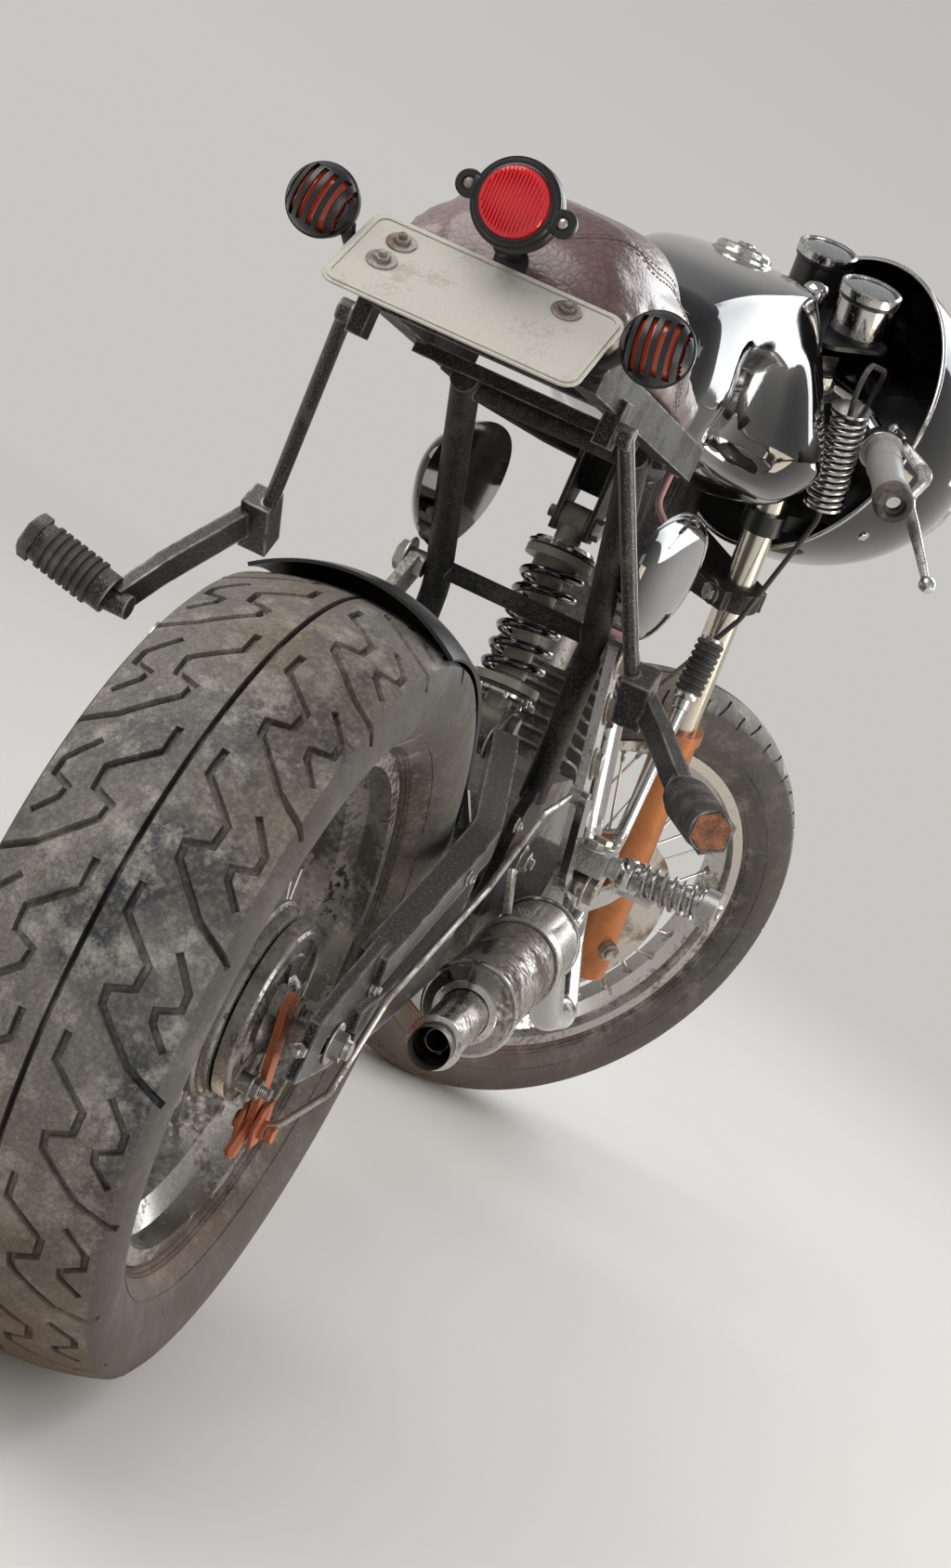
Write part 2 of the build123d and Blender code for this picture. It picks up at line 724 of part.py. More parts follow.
# Bodywork
def add_tank():
    """Two knee hollows behind wide front shoulders, over the frame's spine."""
    stations = [
        # x, half widths of floor, waist and roof, then heights of floor, waist and roof
        (546, 48, 62, 40, 834, 880, 946),
        (650, 70, 84, 58, 814, 880, 986),
        (740, 84, 96, 70, 806, 880, 1008),
        (830, 104, 128, 74, 800, 872, 1024),
        (900, 108, 150, 72, 796, 864, 1031),
        (936, 104, 150, 66, 798, 864, 1024),
        (956, 88, 134, 48, 806, 868, 1000),
    ]
    sections = []
    for x, floor, waist, roof, low, middle, high in stations:
        outline = polygon(
            (-floor, low), (-waist, middle), (-roof, high), (roof, high), (waist, middle), (floor, low)
        )
        outline = fillet(outline.vertices(), min(26, roof * 0.6))
        sections.append(Plane((x, 0, 0), x_dir=(0, 1, 0), z_dir=(1, 0, 0)) * outline)
    tank = loft(sections)
    tank = tank - beam(
        (1060, 0, 880), (520, 0, 731), spine_width + 2 * tank_gap, spine_height + 2 * tank_gap + 40
    )
    tank = tank - rod(fork_at(0, 0, 400), fork_at(0, 0, 860), head_radius + 2 * tank_gap)
    base = Vector(846, 0, 1025)
    tank = tank - rod(base - Vector(0, 0, 5), base + Vector(0, 0, 40), 30.3)
    tank = tank - rod((tap_at[0], tap_at[1], 780), tap_at, 9.3)
    parts["fuel_tank"] = tank
    parts["fuel_tank_cap"] = rod(base - Vector(0, 0, 4.7), base + Vector(0, 0, 9), 30)


def rail_top(x):
    """The height of the rails' upper face."""
    return 838 - (x + 30) * 25 / 435 + rail_height / 2


def add_seat():
    side = Curve() + [
        Line((-2, 0, rail_top(-2) + seat_gap), (-4, 0, 900)),
        ThreePointArc((-4, 0, 900), (62, 0, 936), (165, 0, 951)),
        ThreePointArc((165, 0, 951), (232, 0, 932), (262, 0, 892)),
        ThreePointArc((262, 0, 892), (400, 0, 880), (541, 0, 900)),
        Line((541, 0, 900), (541, 0, seat_base + 6)),
        Line((541, 0, seat_base + 6), (400, 0, rail_top(400) + seat_gap)),
        Line((400, 0, rail_top(400) + seat_gap), (-2, 0, rail_top(-2) + seat_gap)),
    ]
    block = Pos(0, -seat_half, 0) * extrude(make_face(side), 2 * seat_half, dir=(0, 1, 0))
    plan = Curve() + [
        Line((-60, -72, 0), (-60, 72, 0)),
        ThreePointArc((-60, 72, 0), (60, 108, 0), (200, seat_half, 0)),
        ThreePointArc((200, seat_half, 0), (420, 104, 0), (600, 58, 0)),
        Line((600, 58, 0), (600, -58, 0)),
        ThreePointArc((600, -58, 0), (420, -104, 0), (200, -seat_half, 0)),
        ThreePointArc((200, -seat_half, 0), (60, -108, 0), (-60, -72, 0)),
    ]
    outline = Pos(0, 0, 800) * extrude(make_face(plan), 200, dir=(0, 0, 1))
    parts["seat"] = block & outline


def add_side_covers():
    outline = make_face(
        FilletPolyline(
            (410, 0, 735), (560, 0, 772), (700, 0, 760), (715, 0, 700), (600, 0, 645), (470, 0, 670),
            radius=26,
            close=True,
        )
    )
    cover = Pos(0, -124, 0) * extrude(outline, 22, dir=(0, 1, 0))
    cover = fillet(cover.faces().sort_by(Axis.Y)[0].edges(), 8)
    cover = cover + rod((468, -104, 683), (468, -upright_line - tube_radius - 0.2, 683), 7)
    parts["side_covers"] = both(cover)


def add_tail():
    centre = Vector(-60, 0, 848)
    tilt = radians(plate_tilt)
    out = Vector(-cos(tilt), 0, sin(tilt))
    face = Plane(centre, x_dir=(0, 1, 0), z_dir=out)
    board = extrude(face * RectangleRounded(plate_width, plate_height, 14), plate_wall)
    rim_face = face * (
        RectangleRounded(plate_width - 6, plate_height - 6, 11)
        - RectangleRounded(plate_width - 12, plate_height - 12, 8)
    )
    parts["number_plate"] = board + extrude(rim_face, plate_wall + 1.2)
    backing = Plane(centre - out * 0.3, x_dir=(0, 1, 0), z_dir=-out)
    holder = extrude(backing * Rectangle(120, 56), 3)
    for y in (-42, 42):
        holder = holder + beam((-58.9, y, 846.6), (-30.3, y, 840), 16, 4)
    parts["plate_bracket"] = holder
    tail_at = Vector(-62, 0, 921)
    back = Vector(1, 0, 0)
    housing = rod(tail_at, tail_at + back * 17, 33)
    for y in (-36, 36):
        housing = housing + rod(tail_at + Vector(6, y, 0), tail_at + Vector(12, y, 0), 9)
    housing = housing - rod(tail_at - back, tail_at + back * 6, 26.3)
    housing = housing + rod((-48, 0, 891), (-6, 0, 891), 6.5)
    parts["tail_light_housing"] = housing + rod((-7.6, 0, 886), (-4.3, 0, 886), 13)
    lens = rod(tail_at + back * 5.7, tail_at - back * 5, 26)
    lens = lens + Plane(tail_at - back * 5, z_dir=-back).location * dome(26, 7)
    bodies = []
    lenses = [lens.solid()]
    for side in (-1, 1):
        at = Vector(-49, side * 134, 869)
        ball = Plane(at, z_dir=back).location * dome(24.5, 30)
        stalk = rod((-31.3, side * 96, 842), (-41, side * 97, 843), 8)
        stalk = stalk + rod((-38, side * 96, 842), (-41, side * 124, 864), 5.5)
        bodies.append(joined(ball, stalk).solid())
        lenses.append((Plane(at - back * 0.3, z_dir=-back).location * dome(22, 14)).solid())
    parts["rear_signals"] = Compound(children=bodies)
    parts["rear_lenses"] = Compound(children=lenses)


def add_pillion():
    """Each side's rod, the clamp at its foot, the bent arm in it and the folding peg."""
    sides = []
    for side, knee, ankle, peg in (
        (1, (150, 200, 560), (108, 212, 524), ((106, 216, 527), (98, 296, 545))),
        (-1, (235, -214, 600), (190, -252, 573), ((182, -256, 572), (97, -296, 564))),
    ):
        strut = rod((60, side * 118, 806), (270, side * 175, 614), 6.5)
        strut = strut + rod((60, side * 111.3, 806), (60, side * 124, 806), 9)
        strut = strut + beam((244, side * 176, 640), (284, side * 176, 602), 26, 26)
        arm = bent_bar([(266, side * 186, 618), knee, ankle], 12, 26, 32)
        hinge = rod(Vector(*ankle) - Vector(0, 14, 0), Vector(*ankle) + Vector(0, 12, 0), 10)
        sides.append(joined(strut, arm, hinge, rod(*peg, 17)).solid())
    parts["pillion_footrests"] = Compound(children=sides)


def add_rearsets():
    brackets = []
    pegs = []
    levers = []
    for side in (-1, 1):
        hanger = beam((530, side * 102, 632), (484, side * 152, 418), 9, 46)
        foot = beam((486, side * 143, 456), (486, side * 186, 456), 60, 22, (1, 0, 0))
        boss = rod((530, side * 93.3, 629), (530, side * 110, 629), 12)
        pivot = rod((486, side * 145, 430), (486, side * 158, 430), 10)
        brackets.append(joined(hanger, foot, boss, pivot).solid())
        peg = rod((486, side * 192, 457), (481, side * 291, 462), 11)
        peg = peg + rod((482, side * 278, 461.6), (481, side * 292, 462), 18)
        peg = peg + rod((486, side * 186.3, 457), (486, side * 198, 457), 10)
        pegs.append(peg.solid())
        route = [
            (486, side * 163, 428),
            (560, side * 168, 405),
            (640, side * 176, 412),
            (700, side * 178, 418),
        ]
        lever = bent_bar(route, 8, 16, 60)
        lever = lever + rod((486, side * 158.3, 430), (486, side * 174, 430), 12)
        lever = lever + rod((697, side * 172, 418), (697, side * 212, 418), 9)
        if side < 0:
            link = [(480, rod_line - 33, 426), (438, rod_line - 28, 434), (440, rod_line - 14.5, 508)]
            lever = lever + bent_bar(link, 8, 12, 8)
            lever = lever + rod((440, rod_line - 9, 506), (440, rod_line - 17, 506), 8)
        levers.append(lever.solid())
    parts["rearset_brackets"] = Compound(children=brackets)
    parts["rider_pegs"] = Compound(children=pegs)
    arm = bent_tube(
        [(753, -138, 336), (762, -142, 360), (801, -142, 452), (820, -140, 612)], 7.0, 22
    )
    boss = rod((750, -110.3, 334), (750, -150, 334), 11)
    rubber = rod((818, -140, 606), (824, -140, 668), 12)
    levers.append(joined(arm, boss, rubber).solid())
    parts["foot_levers"] = Compound(children=levers)


def add_hoses():
    mouth = carburettor_mouth()
    side = Vector(mouth.X - 40, -24.2, mouth.Z + 7.6)
    route = [
        (tap_at[0], tap_at[1], 801),
        (tap_at[0], tap_at[1], 768),
        (728, -92, 728),
        (775, -96, 676),
        (side.X, -66, side.Z),
        tuple(side),
    ]
    hose = bent_tube(route, hose_radius, hose_bend)
    parts["fuel_hose"] = hose + rod((tap_at[0], tap_at[1], tap_at[2] - 0.3), (tap_at[0], tap_at[1], 800), 9)


# Fork, brake and cockpit
def add_fork():
    leg_spots = [(fork_offset, -leg_spread), (fork_offset, leg_spread)]
    yokes = []
    for middle, reach in ((lower_yoke, 34.0), (upper_yoke, 31.0)):
        z0 = middle - yoke_height / 2
        level = Plane(fork_at(0, 0, z0), x_dir=ahead_fork, z_dir=up_fork)
        outline = polygon(
            (-24, -26),
            (-24, 26),
            (fork_offset - reach + 6, leg_spread + reach - 12),
            (fork_offset + reach - 8, leg_spread + reach - 12),
            (fork_offset + 22, 40),
            (fork_offset + 22, -40),
            (fork_offset + reach - 8, -leg_spread - reach + 12),
            (fork_offset - reach + 6, -leg_spread - reach + 12),
        )
        for x, y in leg_spots:
            outline = outline + Pos(x, y) * Circle(reach - 4)
        for x, y in leg_spots:
            outline = outline - Pos(x, y) * Circle(tube_fork_radius + 0.1)
        yokes.append(extrude(level * outline, yoke_height))
    stem = rod(fork_at(0, 0, lower_yoke), fork_at(0, 0, upper_yoke + 14), stem_radius)
    lower_race = rod(fork_at(0, 0, lower_yoke), fork_at(0, 0, head_bottom - 0.5), 26)
    upper_race = rod(fork_at(0, 0, head_top + 0.5), fork_at(0, 0, upper_yoke), 26)
    nut = rod(fork_at(0, 0, upper_yoke), fork_at(0, 0, upper_yoke + 20), 17)
    parts["triple_clamps"] = joined(*yokes, stem, lower_race, upper_race, nut)
    tubes = []
    sliders = []
    for x, y in leg_spots:
        tube = rod(fork_at(x, y, slider_top - 60), fork_at(x, y, fork_top), tube_fork_radius)
        cap = extrude(
            Plane(fork_at(x, y, fork_top), z_dir=up_fork) * RegularPolygon(14, 6), 6
        )
        tubes.append((tube + cap).solid())
        slider = rod(fork_at(x, y, slider_bottom), fork_at(x, y, slider_top), slider_radius)
        slider = slider + rod(fork_at(x, y, slider_top - 14), fork_at(x, y, slider_top), 27)
        slider = slider - rod(
            fork_at(x, y, slider_top - 60.3), fork_at(x, y, slider_top + 1), tube_fork_radius + 0.1
        )
        slider = slider - rod(
            front_axle_at - Vector(0, 200, 0), front_axle_at + Vector(0, 200, 0), axle_radius + 0.1
        )
        if y < 0:
            for height in (70, 128):
                lug = beam_fork((x - 18, y + 8, height), (x - 44, y + 8, height), 22, 16)
                slider = slider + lug
        sliders.append(slider.solid())
    parts["fork_tubes"] = Compound(children=tubes)
    parts["fork_lowers"] = Compound(children=sliders)
    shaft = rod(front_axle_at - Vector(0, 142, 0), front_axle_at + Vector(0, 142, 0), axle_radius)
    for side in (-1, 1):
        face = front_axle_at + Vector(0, side * (leg_spread + slider_radius + 0.1), 0)
        shaft = shaft + extrude(Plane(face, z_dir=(0, side, 0)) * RegularPolygon(12, 6), 9)
    inner = leg_spread - slider_radius
    for start, end in ((0.4 - inner, -50.5), (46.5, inner - 0.4)):
        shaft = shaft + rod(front_axle_at + Vector(0, start, 0), front_axle_at + Vector(0, end, 0), 11)
    parts["front_axle"] = shaft
    parts["brake_caliper"] = caliper_block()


def beam_fork(start, end, width, height):
    """A square bar between two points given from the steering axis."""
    first = fork_at(*start)
    way = fork_at(*end) - first
    return extrude(Plane(first, x_dir=(0, 1, 0), z_dir=way) * Rectangle(width, height), way.length)


def caliper_block():
    """A sliding caliper behind the right leg, straddling the disc."""
    centre_y = disc_line + disc_wall / 2 + 3.7
    block = beam_fork((fork_offset - 50, centre_y - 8, 99), (fork_offset - 104, centre_y - 8, 99), 58, 78)
    reach = Vector(0, disc_wall / 2 + 2.5, 0)
    middle = front_axle_at + Vector(0, centre_y, 0)
    ear = beam_fork((fork_offset - 44.3, 8 - leg_spread, 99), (fork_offset - 66, 8 - leg_spread, 99), 26, 74)
    return block + ear - rod(middle - reach, middle + reach, disc_radius + 4)


def add_cockpit():
    yoke_face = upper_yoke + yoke_height / 2
    middle = fork_at(85, 0, 718)
    right_half = [
        (wheelbase - 252, -266, 948.6),
        (wheelbase - 207, -141, 978),
        (wheelbase - 210, -101, 985.3),
        (middle.X, -62, middle.Z),
    ]
    left_half = [(x, -y, z) for x, y, z in reversed(right_half)]
    bars = bent_tube(right_half + left_half, bar_radius, 34)
    for side in (-1, 1):
        level = yoke_face + 10.1
        bars = bars + beam_fork((46, side * 50, level), (94, side * 50, level), 18, 20)
        bars = bars + rod(fork_at(85, side * 41, 718), fork_at(85, side * 59, 718), 16)
    parts["handlebars"] = bars
    grips = []
    levers = []
    for side in (-1, 1):
        bend = Vector(wheelbase - 207, side * 141, 978)
        outer = Vector(wheelbase - 252, side * 266, 948.6)
        way = (outer - bend).normalized()
        grip = ring(bend + way * 29, outer, grip_radius, bar_radius + 0.3)
        end = rod(outer + way * 0.3, outer + way * 9, grip_radius - 1)
        grips += [grip.solid(), end.solid()]
        perch = ring(bend + way * 8.5, bend + way * 26, 22, bar_radius + 0.1)
        master_x = wheelbase - 185
        master = beam((master_x, side * 112, 974), (master_x, side * 153, 974), 20, 20, (1, 0, 0))
        blade = bent_bar(
            [
                (wheelbase - 202, side * 154, 991.5),
                (wheelbase - 200, side * 229, 985),
                (wheelbase - 213, side * 240, 956),
                (wheelbase - 225, side * 352, 911),
            ],
            12,
            8,
            14,
        )
        knob = Pos(wheelbase - 225, side * 352, 911) * Sphere(8)
        levers.append(joined(perch, master, blade, knob).solid())
    parts["grips"] = Compound(children=grips)
    parts["hand_levers"] = Compound(children=levers)
    add_cowl()
    base = yoke_face + 42
    level = Plane(fork_at(0, 0, base - 5), x_dir=ahead_fork, z_dir=up_fork)
    bracket = extrude(level * (Pos(96, 0) * RectangleRounded(92, 164, 20)), 5)
    for side in (-1, 1):
        bracket = bracket + rod(fork_at(57, side * 24, yoke_face + 0.1), fork_at(57, side * 24, base), 8)
        foot = fork_at(109, side * 48, base)
        top = fork_at(109, side * 48, base + gauge_height)
        cup = rod(foot - up_fork * 2, top - up_fork * 4, gauge_radius)
        cup = cup + ring(top - up_fork * 12, top, gauge_radius + 3, gauge_radius - 3)
        bracket = bracket + cup
    parts["gauges"] = bracket + rod(fork_at(77, 0, base), fork_at(77, 0, base + 18), 13)


def add_cowl():
    """The round headlamp shell, open at the back, with the lamp in its nose."""
    centre = Vector(wheelbase - 190, 0, 952)
    tilt = radians(cowl_tilt)
    nose_way = Vector(cos(tilt), 0, -sin(tilt))
    front = cowl_depth - 6
    outline = Curve() + [
        Line((cowl_radius - cowl_wall, 0), (cowl_radius, 0)),
        ThreePointArc((cowl_radius, 0), (cowl_radius * 0.86, cowl_depth * 0.55), (lamp + 8, cowl_depth)),
        Line((lamp + 8, cowl_depth), (lamp + seat_gap, cowl_depth)),
        Line((lamp + seat_gap, cowl_depth), (lamp + seat_gap, front)),
        Line((lamp + seat_gap, front), (lamp + 5.5, front)),
        ThreePointArc(
            (lamp + 5.5, front),
            (cowl_radius * 0.86 - cowl_wall, cowl_depth * 0.55 - 1),
            (cowl_radius - cowl_wall, 0),
        ),
    ]
    shell = revolve(make_face(outline), Axis.Y)
    place = Plane(centre, x_dir=(0, 1, 0), z_dir=Vector(0, 1, 0).cross(nose_way))
    parts["headlamp_cowl"] = place.location * shell
    glass_at = centre + nose_way * (front - 2)
    glass = rod(glass_at, glass_at + nose_way * 7, lamp)
    parts["headlamp_lens"] = glass + Plane(glass_at + nose_way * 7, z_dir=nose_way).location * dome(lamp, 16)
    bowl = polygon(
        (0, front - 2.3),
        (lamp, front - 2.3),
        (lamp * 0.84, front - 50),
        (30, front - 88),
        (0, front - 88),
    )
    bucket = place.location * revolve(bowl, Axis.Y)
    stays = []
    for side in (-1, 1):
        clamp = ring(
            fork_at(fork_offset, side * leg_spread, 560),
            fork_at(fork_offset, side * leg_spread, 584),
            tube_fork_radius + 6,
            tube_fork_radius + 0.1,
        )
        rise = fork_offset + tube_fork_radius + 0.5
        arm = beam_fork(
            (rise, side * (leg_spread + 4), 572), (fork_offset + 74, side * 128, 572), 6, 20
        )
        knee = fork_at(fork_offset + 71, side * 127, 572)
        tie = beam(tuple(knee), (wheelbase - 58, side * 44, 942), 6, 20, (0, 1, 0))
        stays.append(joined(clamp, arm, tie))
    parts["headlamp_bucket"] = joined(bucket, *stays)


def add_brake_hose():
    """The front brake's hose down the outside of the right leg, in a coiled guard at its top."""
    top = fork_at(61, -152, 728)
    foot = fork_at(72, -152, 626)
    way = (foot - top).normalized()
    length = (foot - top).length
    helix = Helix(length / 13, length, 19.0)
    wire = sweep(Plane(helix @ 0, z_dir=helix % 0) * Circle(2.6), path=helix, is_frenet=True)
    coil = Plane(top, z_dir=way).location * wire
    ends = [
        ring(top - way * 5.9, top - way * 2.9, 21.6, brake_line_radius + seat_gap),
        ring(foot + way * 2.9, foot + way * 5.9, 21.6, brake_line_radius + seat_gap),
    ]
    parts["hose_spring_guard"] = Compound(children=[coil.solid()] + [end.solid() for end in ends])
    knee = top - way * 60
    route = [
        (wheelbase - 185, -111.7, 974),
        (wheelbase - 185, -74, 974),
        (wheelbase - 200, -78, 1034),
        tuple(knee),
        tuple(foot + way * 26),
        tuple(fork_at(30, -148, 470)),
        tuple(fork_at(0, -104, 360)),
        tuple(fork_at(-32, -64, 235)),
        tuple(fork_at(-32, -64, 138.3)),
    ]
    parts["brake_hose"] = bent_tube(route, brake_line_radius, brake_line_bend)


# Side stand
def wheel_low(centre, axle_way, radius, crown):
    """The height of a crowned tyre's lowest point."""
    return centre.Z - crown - (radius - crown) * sqrt(1 - axle_way.Z**2)


def turned(shape):
    """Turn a piece of the fork to the right stop."""
    return shape.rotate(steering_axis, -lock_angle)


def settle():
    lean_turn = Rot(-lean_angle, 0, 0)
    rear_centre = (lean_turn * Vertex(*rear_axle_at)).center()
    steered = Vertex(*front_axle_at).rotate(steering_axis, -lock_angle)
    steered_left = Vertex(*(front_axle_at + Vector(0, 1, 0))).rotate(steering_axis, -lock_angle)
    front_centre = (lean_turn * steered).center()
    front_way = (lean_turn * steered_left).center() - front_centre
    rear_way = (lean_turn * Vertex(0, 1, 0)).center()
    rear_low = wheel_low(rear_centre, rear_way, rear_radius, rear_crown)
    front_low = wheel_low(front_centre, front_way, front_radius, front_crown)
    pitch = degrees((front_low - rear_low) / (front_centre.X - rear_centre.X))
    return Pos(0, 0, -rear_low) * Rot(0, pitch, 0) * lean_turn


ground_location = settle()
stand_pivot = Vector(600, 104, 322)
stand_foot_ground = Vector(676, 292, 0)


def add_stand():
    back = ground_location.inverse()
    foot = (back * Vertex(*stand_foot_ground)).center()
    ground_up = (back * Vertex(*(stand_foot_ground + Vector(0, 0, 1)))).center() - foot
    ankle = foot + ground_up * 14
    leg = bent_tube([tuple(stand_pivot), tuple(stand_pivot + Vector(8, 0, -36)), tuple(ankle)], 9, 60)
    boss = rod(stand_pivot - Vector(0, 9, 0), stand_pivot + Vector(0, 9, 0), 20)
    leg = joined(leg, boss) - rod(stand_pivot - Vector(0, 20, 0), stand_pivot + Vector(0, 20, 0), 6.05)
    pad = extrude(Plane(foot, x_dir=(1, 0, 0), z_dir=ground_up) * RectangleRounded(62, 40, 14), 6)
    ankle_block = rod(foot + ground_up * 4, ankle + ground_up * 6, 12)
    parts["side_stand"] = joined(leg, pad, ankle_block)


add_rear_wheel()
add_front_wheel()
add_rear_axle()
add_main_frame()
add_seat_subframe()
add_swingarm()
add_shock()
add_hugger()
add_rear_brake()
add_chain()
add_engine()
add_exhaust()
add_tank()
add_seat()
add_side_covers()
add_tail()
add_pillion()
add_rearsets()
add_hoses()
add_fork()
add_cockpit()
add_brake_hose()
add_stand()

fork_nodes = [
    "triple_clamps",
    "fork_tubes",
    "fork_lowers",
    "front_axle",
    "brake_caliper",
    "handlebars",
    "grips",
    "hand_levers",
    "headlamp_cowl",
    "headlamp_lens",
    "headlamp_bucket",
    "gauges",
    "hose_spring_guard",
    "brake_hose",
]
front_wheel_nodes = ["front_tyre", "front_rim", "front_spokes", "front_hub", "front_disc"]

placed = {}
for name, shape in parts.items():
    if name in fork_nodes or name in front_wheel_nodes:
        shape = turned(shape)
    placed[name] = ground_location * shape

low = [min(s.bounding_box().min.to_tuple()[k] for s in placed.values()) for k in range(3)]
high = [max(s.bounding_box().max.to_tuple()[k] for s in placed.values()) for k in range(3)]
centring = Pos(-(low[0] + high[0]) / 2, -(low[1] + high[1]) / 2, -low[2])

if __name__ == "__main__":
    for name, shape in placed.items():
        export_step(centring * shape, f"parts/{name}.step")
        print(name)
    print("size", [round(b - a, 1) for a, b in zip(low, high)])
    print("fuel hose bend radius", hose_bend, "for a hose", 2 * hose_radius, "across")
    print("brake hose bend radius", brake_line_bend, "for a hose", 2 * brake_line_radius, "across")
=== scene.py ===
# %% [markdown]
# # A cafe racer on its side stand
#
# The motorcycle arrives as exact solids that already have their size and place. This
# lesson gives them their surfaces, and models what a drawing leaves plain: the
# cut tread, the laced nipples, the stitched seat, the louvred lamps and the fasteners.

# %% Load the frame
import json
from math import asin, atan2, copysign, cos, pi, radians, sin, sqrt

import bmesh
import bpy
from mathutils import Matrix, Vector
from mathutils.bvhtree import BVHTree


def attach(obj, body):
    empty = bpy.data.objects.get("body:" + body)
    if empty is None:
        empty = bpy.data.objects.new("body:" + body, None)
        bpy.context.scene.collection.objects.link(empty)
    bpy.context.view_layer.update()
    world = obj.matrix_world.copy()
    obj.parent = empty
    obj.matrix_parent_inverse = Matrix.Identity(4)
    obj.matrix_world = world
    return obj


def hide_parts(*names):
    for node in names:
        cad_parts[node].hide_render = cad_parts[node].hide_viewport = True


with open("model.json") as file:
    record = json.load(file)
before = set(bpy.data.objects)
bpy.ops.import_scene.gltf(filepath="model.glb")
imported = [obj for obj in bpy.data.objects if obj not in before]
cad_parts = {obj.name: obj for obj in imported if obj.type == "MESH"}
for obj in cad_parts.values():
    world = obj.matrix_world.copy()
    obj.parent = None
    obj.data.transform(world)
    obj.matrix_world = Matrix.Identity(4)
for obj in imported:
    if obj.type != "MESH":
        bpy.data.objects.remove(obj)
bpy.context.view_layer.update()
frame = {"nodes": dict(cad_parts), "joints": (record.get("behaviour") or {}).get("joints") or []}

# %% [markdown]
# ## Two drawing boards
#
# A motorcycle is easy to draw upright with its wheels in line and hard to draw leaning
# with its bars turned. So each piece is drawn upright in millimetres, x forward, y to the
# rider's left and z up from the ground below the rear axle. One matrix then leans it, and
# another turns what the fork carries. Both come from the joints' own axes.

# %% Drawing boards for the frame and for the fork
rake = radians(23.3)
wheelbase = 1350.0
rear_radius = 309.7
front_radius = 308.8
fork_offset = 44.0
millimetre = 0.001

joints = {joint["name"]: joint for joint in frame["joints"]}
steering_up = Vector(joints["steering"]["axis"]).normalized()


def drawing_board(wheel_joint, forward, up):
    """The matrix from upright millimetres to this standing motorcycle, set by one wheel."""
    left = Vector(joints[wheel_joint]["axis"]).normalized()
    ahead = left.cross(steering_up)
    x_way = ahead * cos(rake) - steering_up * sin(rake)
    z_way = ahead * sin(rake) + steering_up * cos(rake)
    turn = Matrix((x_way, left, z_way)).transposed().to_4x4()
    axle = Vector(joints[wheel_joint]["pos_m"])
    corner = axle - (turn.to_3x3() @ Vector((forward, 0, up))) * millimetre
    return Matrix.Translation(corner) @ turn @ Matrix.Scale(millimetre, 4)


upright = drawing_board("rear_wheel_spin", 0, rear_radius)
steered = drawing_board("front_wheel_spin", wheelbase, front_radius)
to_board = upright.inverted()
ahead_fork = Vector((cos(rake), 0, sin(rake)))
up_fork = Vector((-sin(rake), 0, cos(rake)))
rear_axle = Vector((0, 0, rear_radius))
front_axle = Vector((wheelbase, 0, front_radius))
stem_foot = front_axle - ahead_fork * fork_offset


def fork_at(forward, left, height):
    """A point given from the steering axis: forward, left, and up along it from the axle."""
    return stem_foot + ahead_fork * forward + Vector((0, left, 0)) + up_fork * height


print("rear axle at", [round(x, 3) for x in upright @ rear_axle])

# %% [markdown]
# ## Camera, floor and light
#
# The picture was taken standing behind the right of the rear wheel, looking forward and a
# little down with the camera rolled well over. The lens and the rolled axes were worked
# out from the wheels, whose true size is known. The light is plain and soft, from above
# and behind, so that gloss paint and chrome still show long highlights.

# %% Things, meshes and their settings
def set_all(thing, **values):
    """Sets several settings of one thing."""
    for key, value in values.items():
        setattr(thing, key, value)
    return thing


def in_scene(name, data):
    """A new object that shows data in the scene."""
    thing = bpy.data.objects.new(name, data)
    bpy.context.scene.collection.objects.link(thing)
    return thing


def as_mesh(bm, name):
    """Closes a bmesh into a new mesh."""
    mesh = bpy.data.meshes.new(name)
    bm.to_mesh(mesh)
    bm.free()
    return mesh


# %% Camera
picture_height = 1688
focal_pixels = 3050.9
centre_shift = (1.1, 24.7)
camera_at = Vector((-2025.5, -515.9, 779.1))
camera_right = Vector((0.2174, -0.885, 0.4118)).normalized()
camera_down = Vector((-0.038, -0.4292, -0.9024))

camera_data = set_all(
    bpy.data.cameras.new("photo_camera"), sensor_fit="VERTICAL", sensor_height=36.0,
    lens=focal_pixels / picture_height * 36.0,
    shift_x=centre_shift[0] / picture_height, shift_y=centre_shift[1] / picture_height,
)
camera = in_scene("photo_camera", camera_data)
above = (-camera_down - camera_right * camera_right.dot(-camera_down)).normalized()
look = Matrix((camera_right, above, camera_right.cross(above))).transposed()
place = upright.to_3x3().normalized() @ look
camera.matrix_world = Matrix.Translation(upright @ camera_at) @ place.to_4x4()
bpy.context.scene.camera = camera
bpy.context.scene.view_settings.view_transform = "Standard"
print("camera at", [round(x, 2) for x in camera.location])

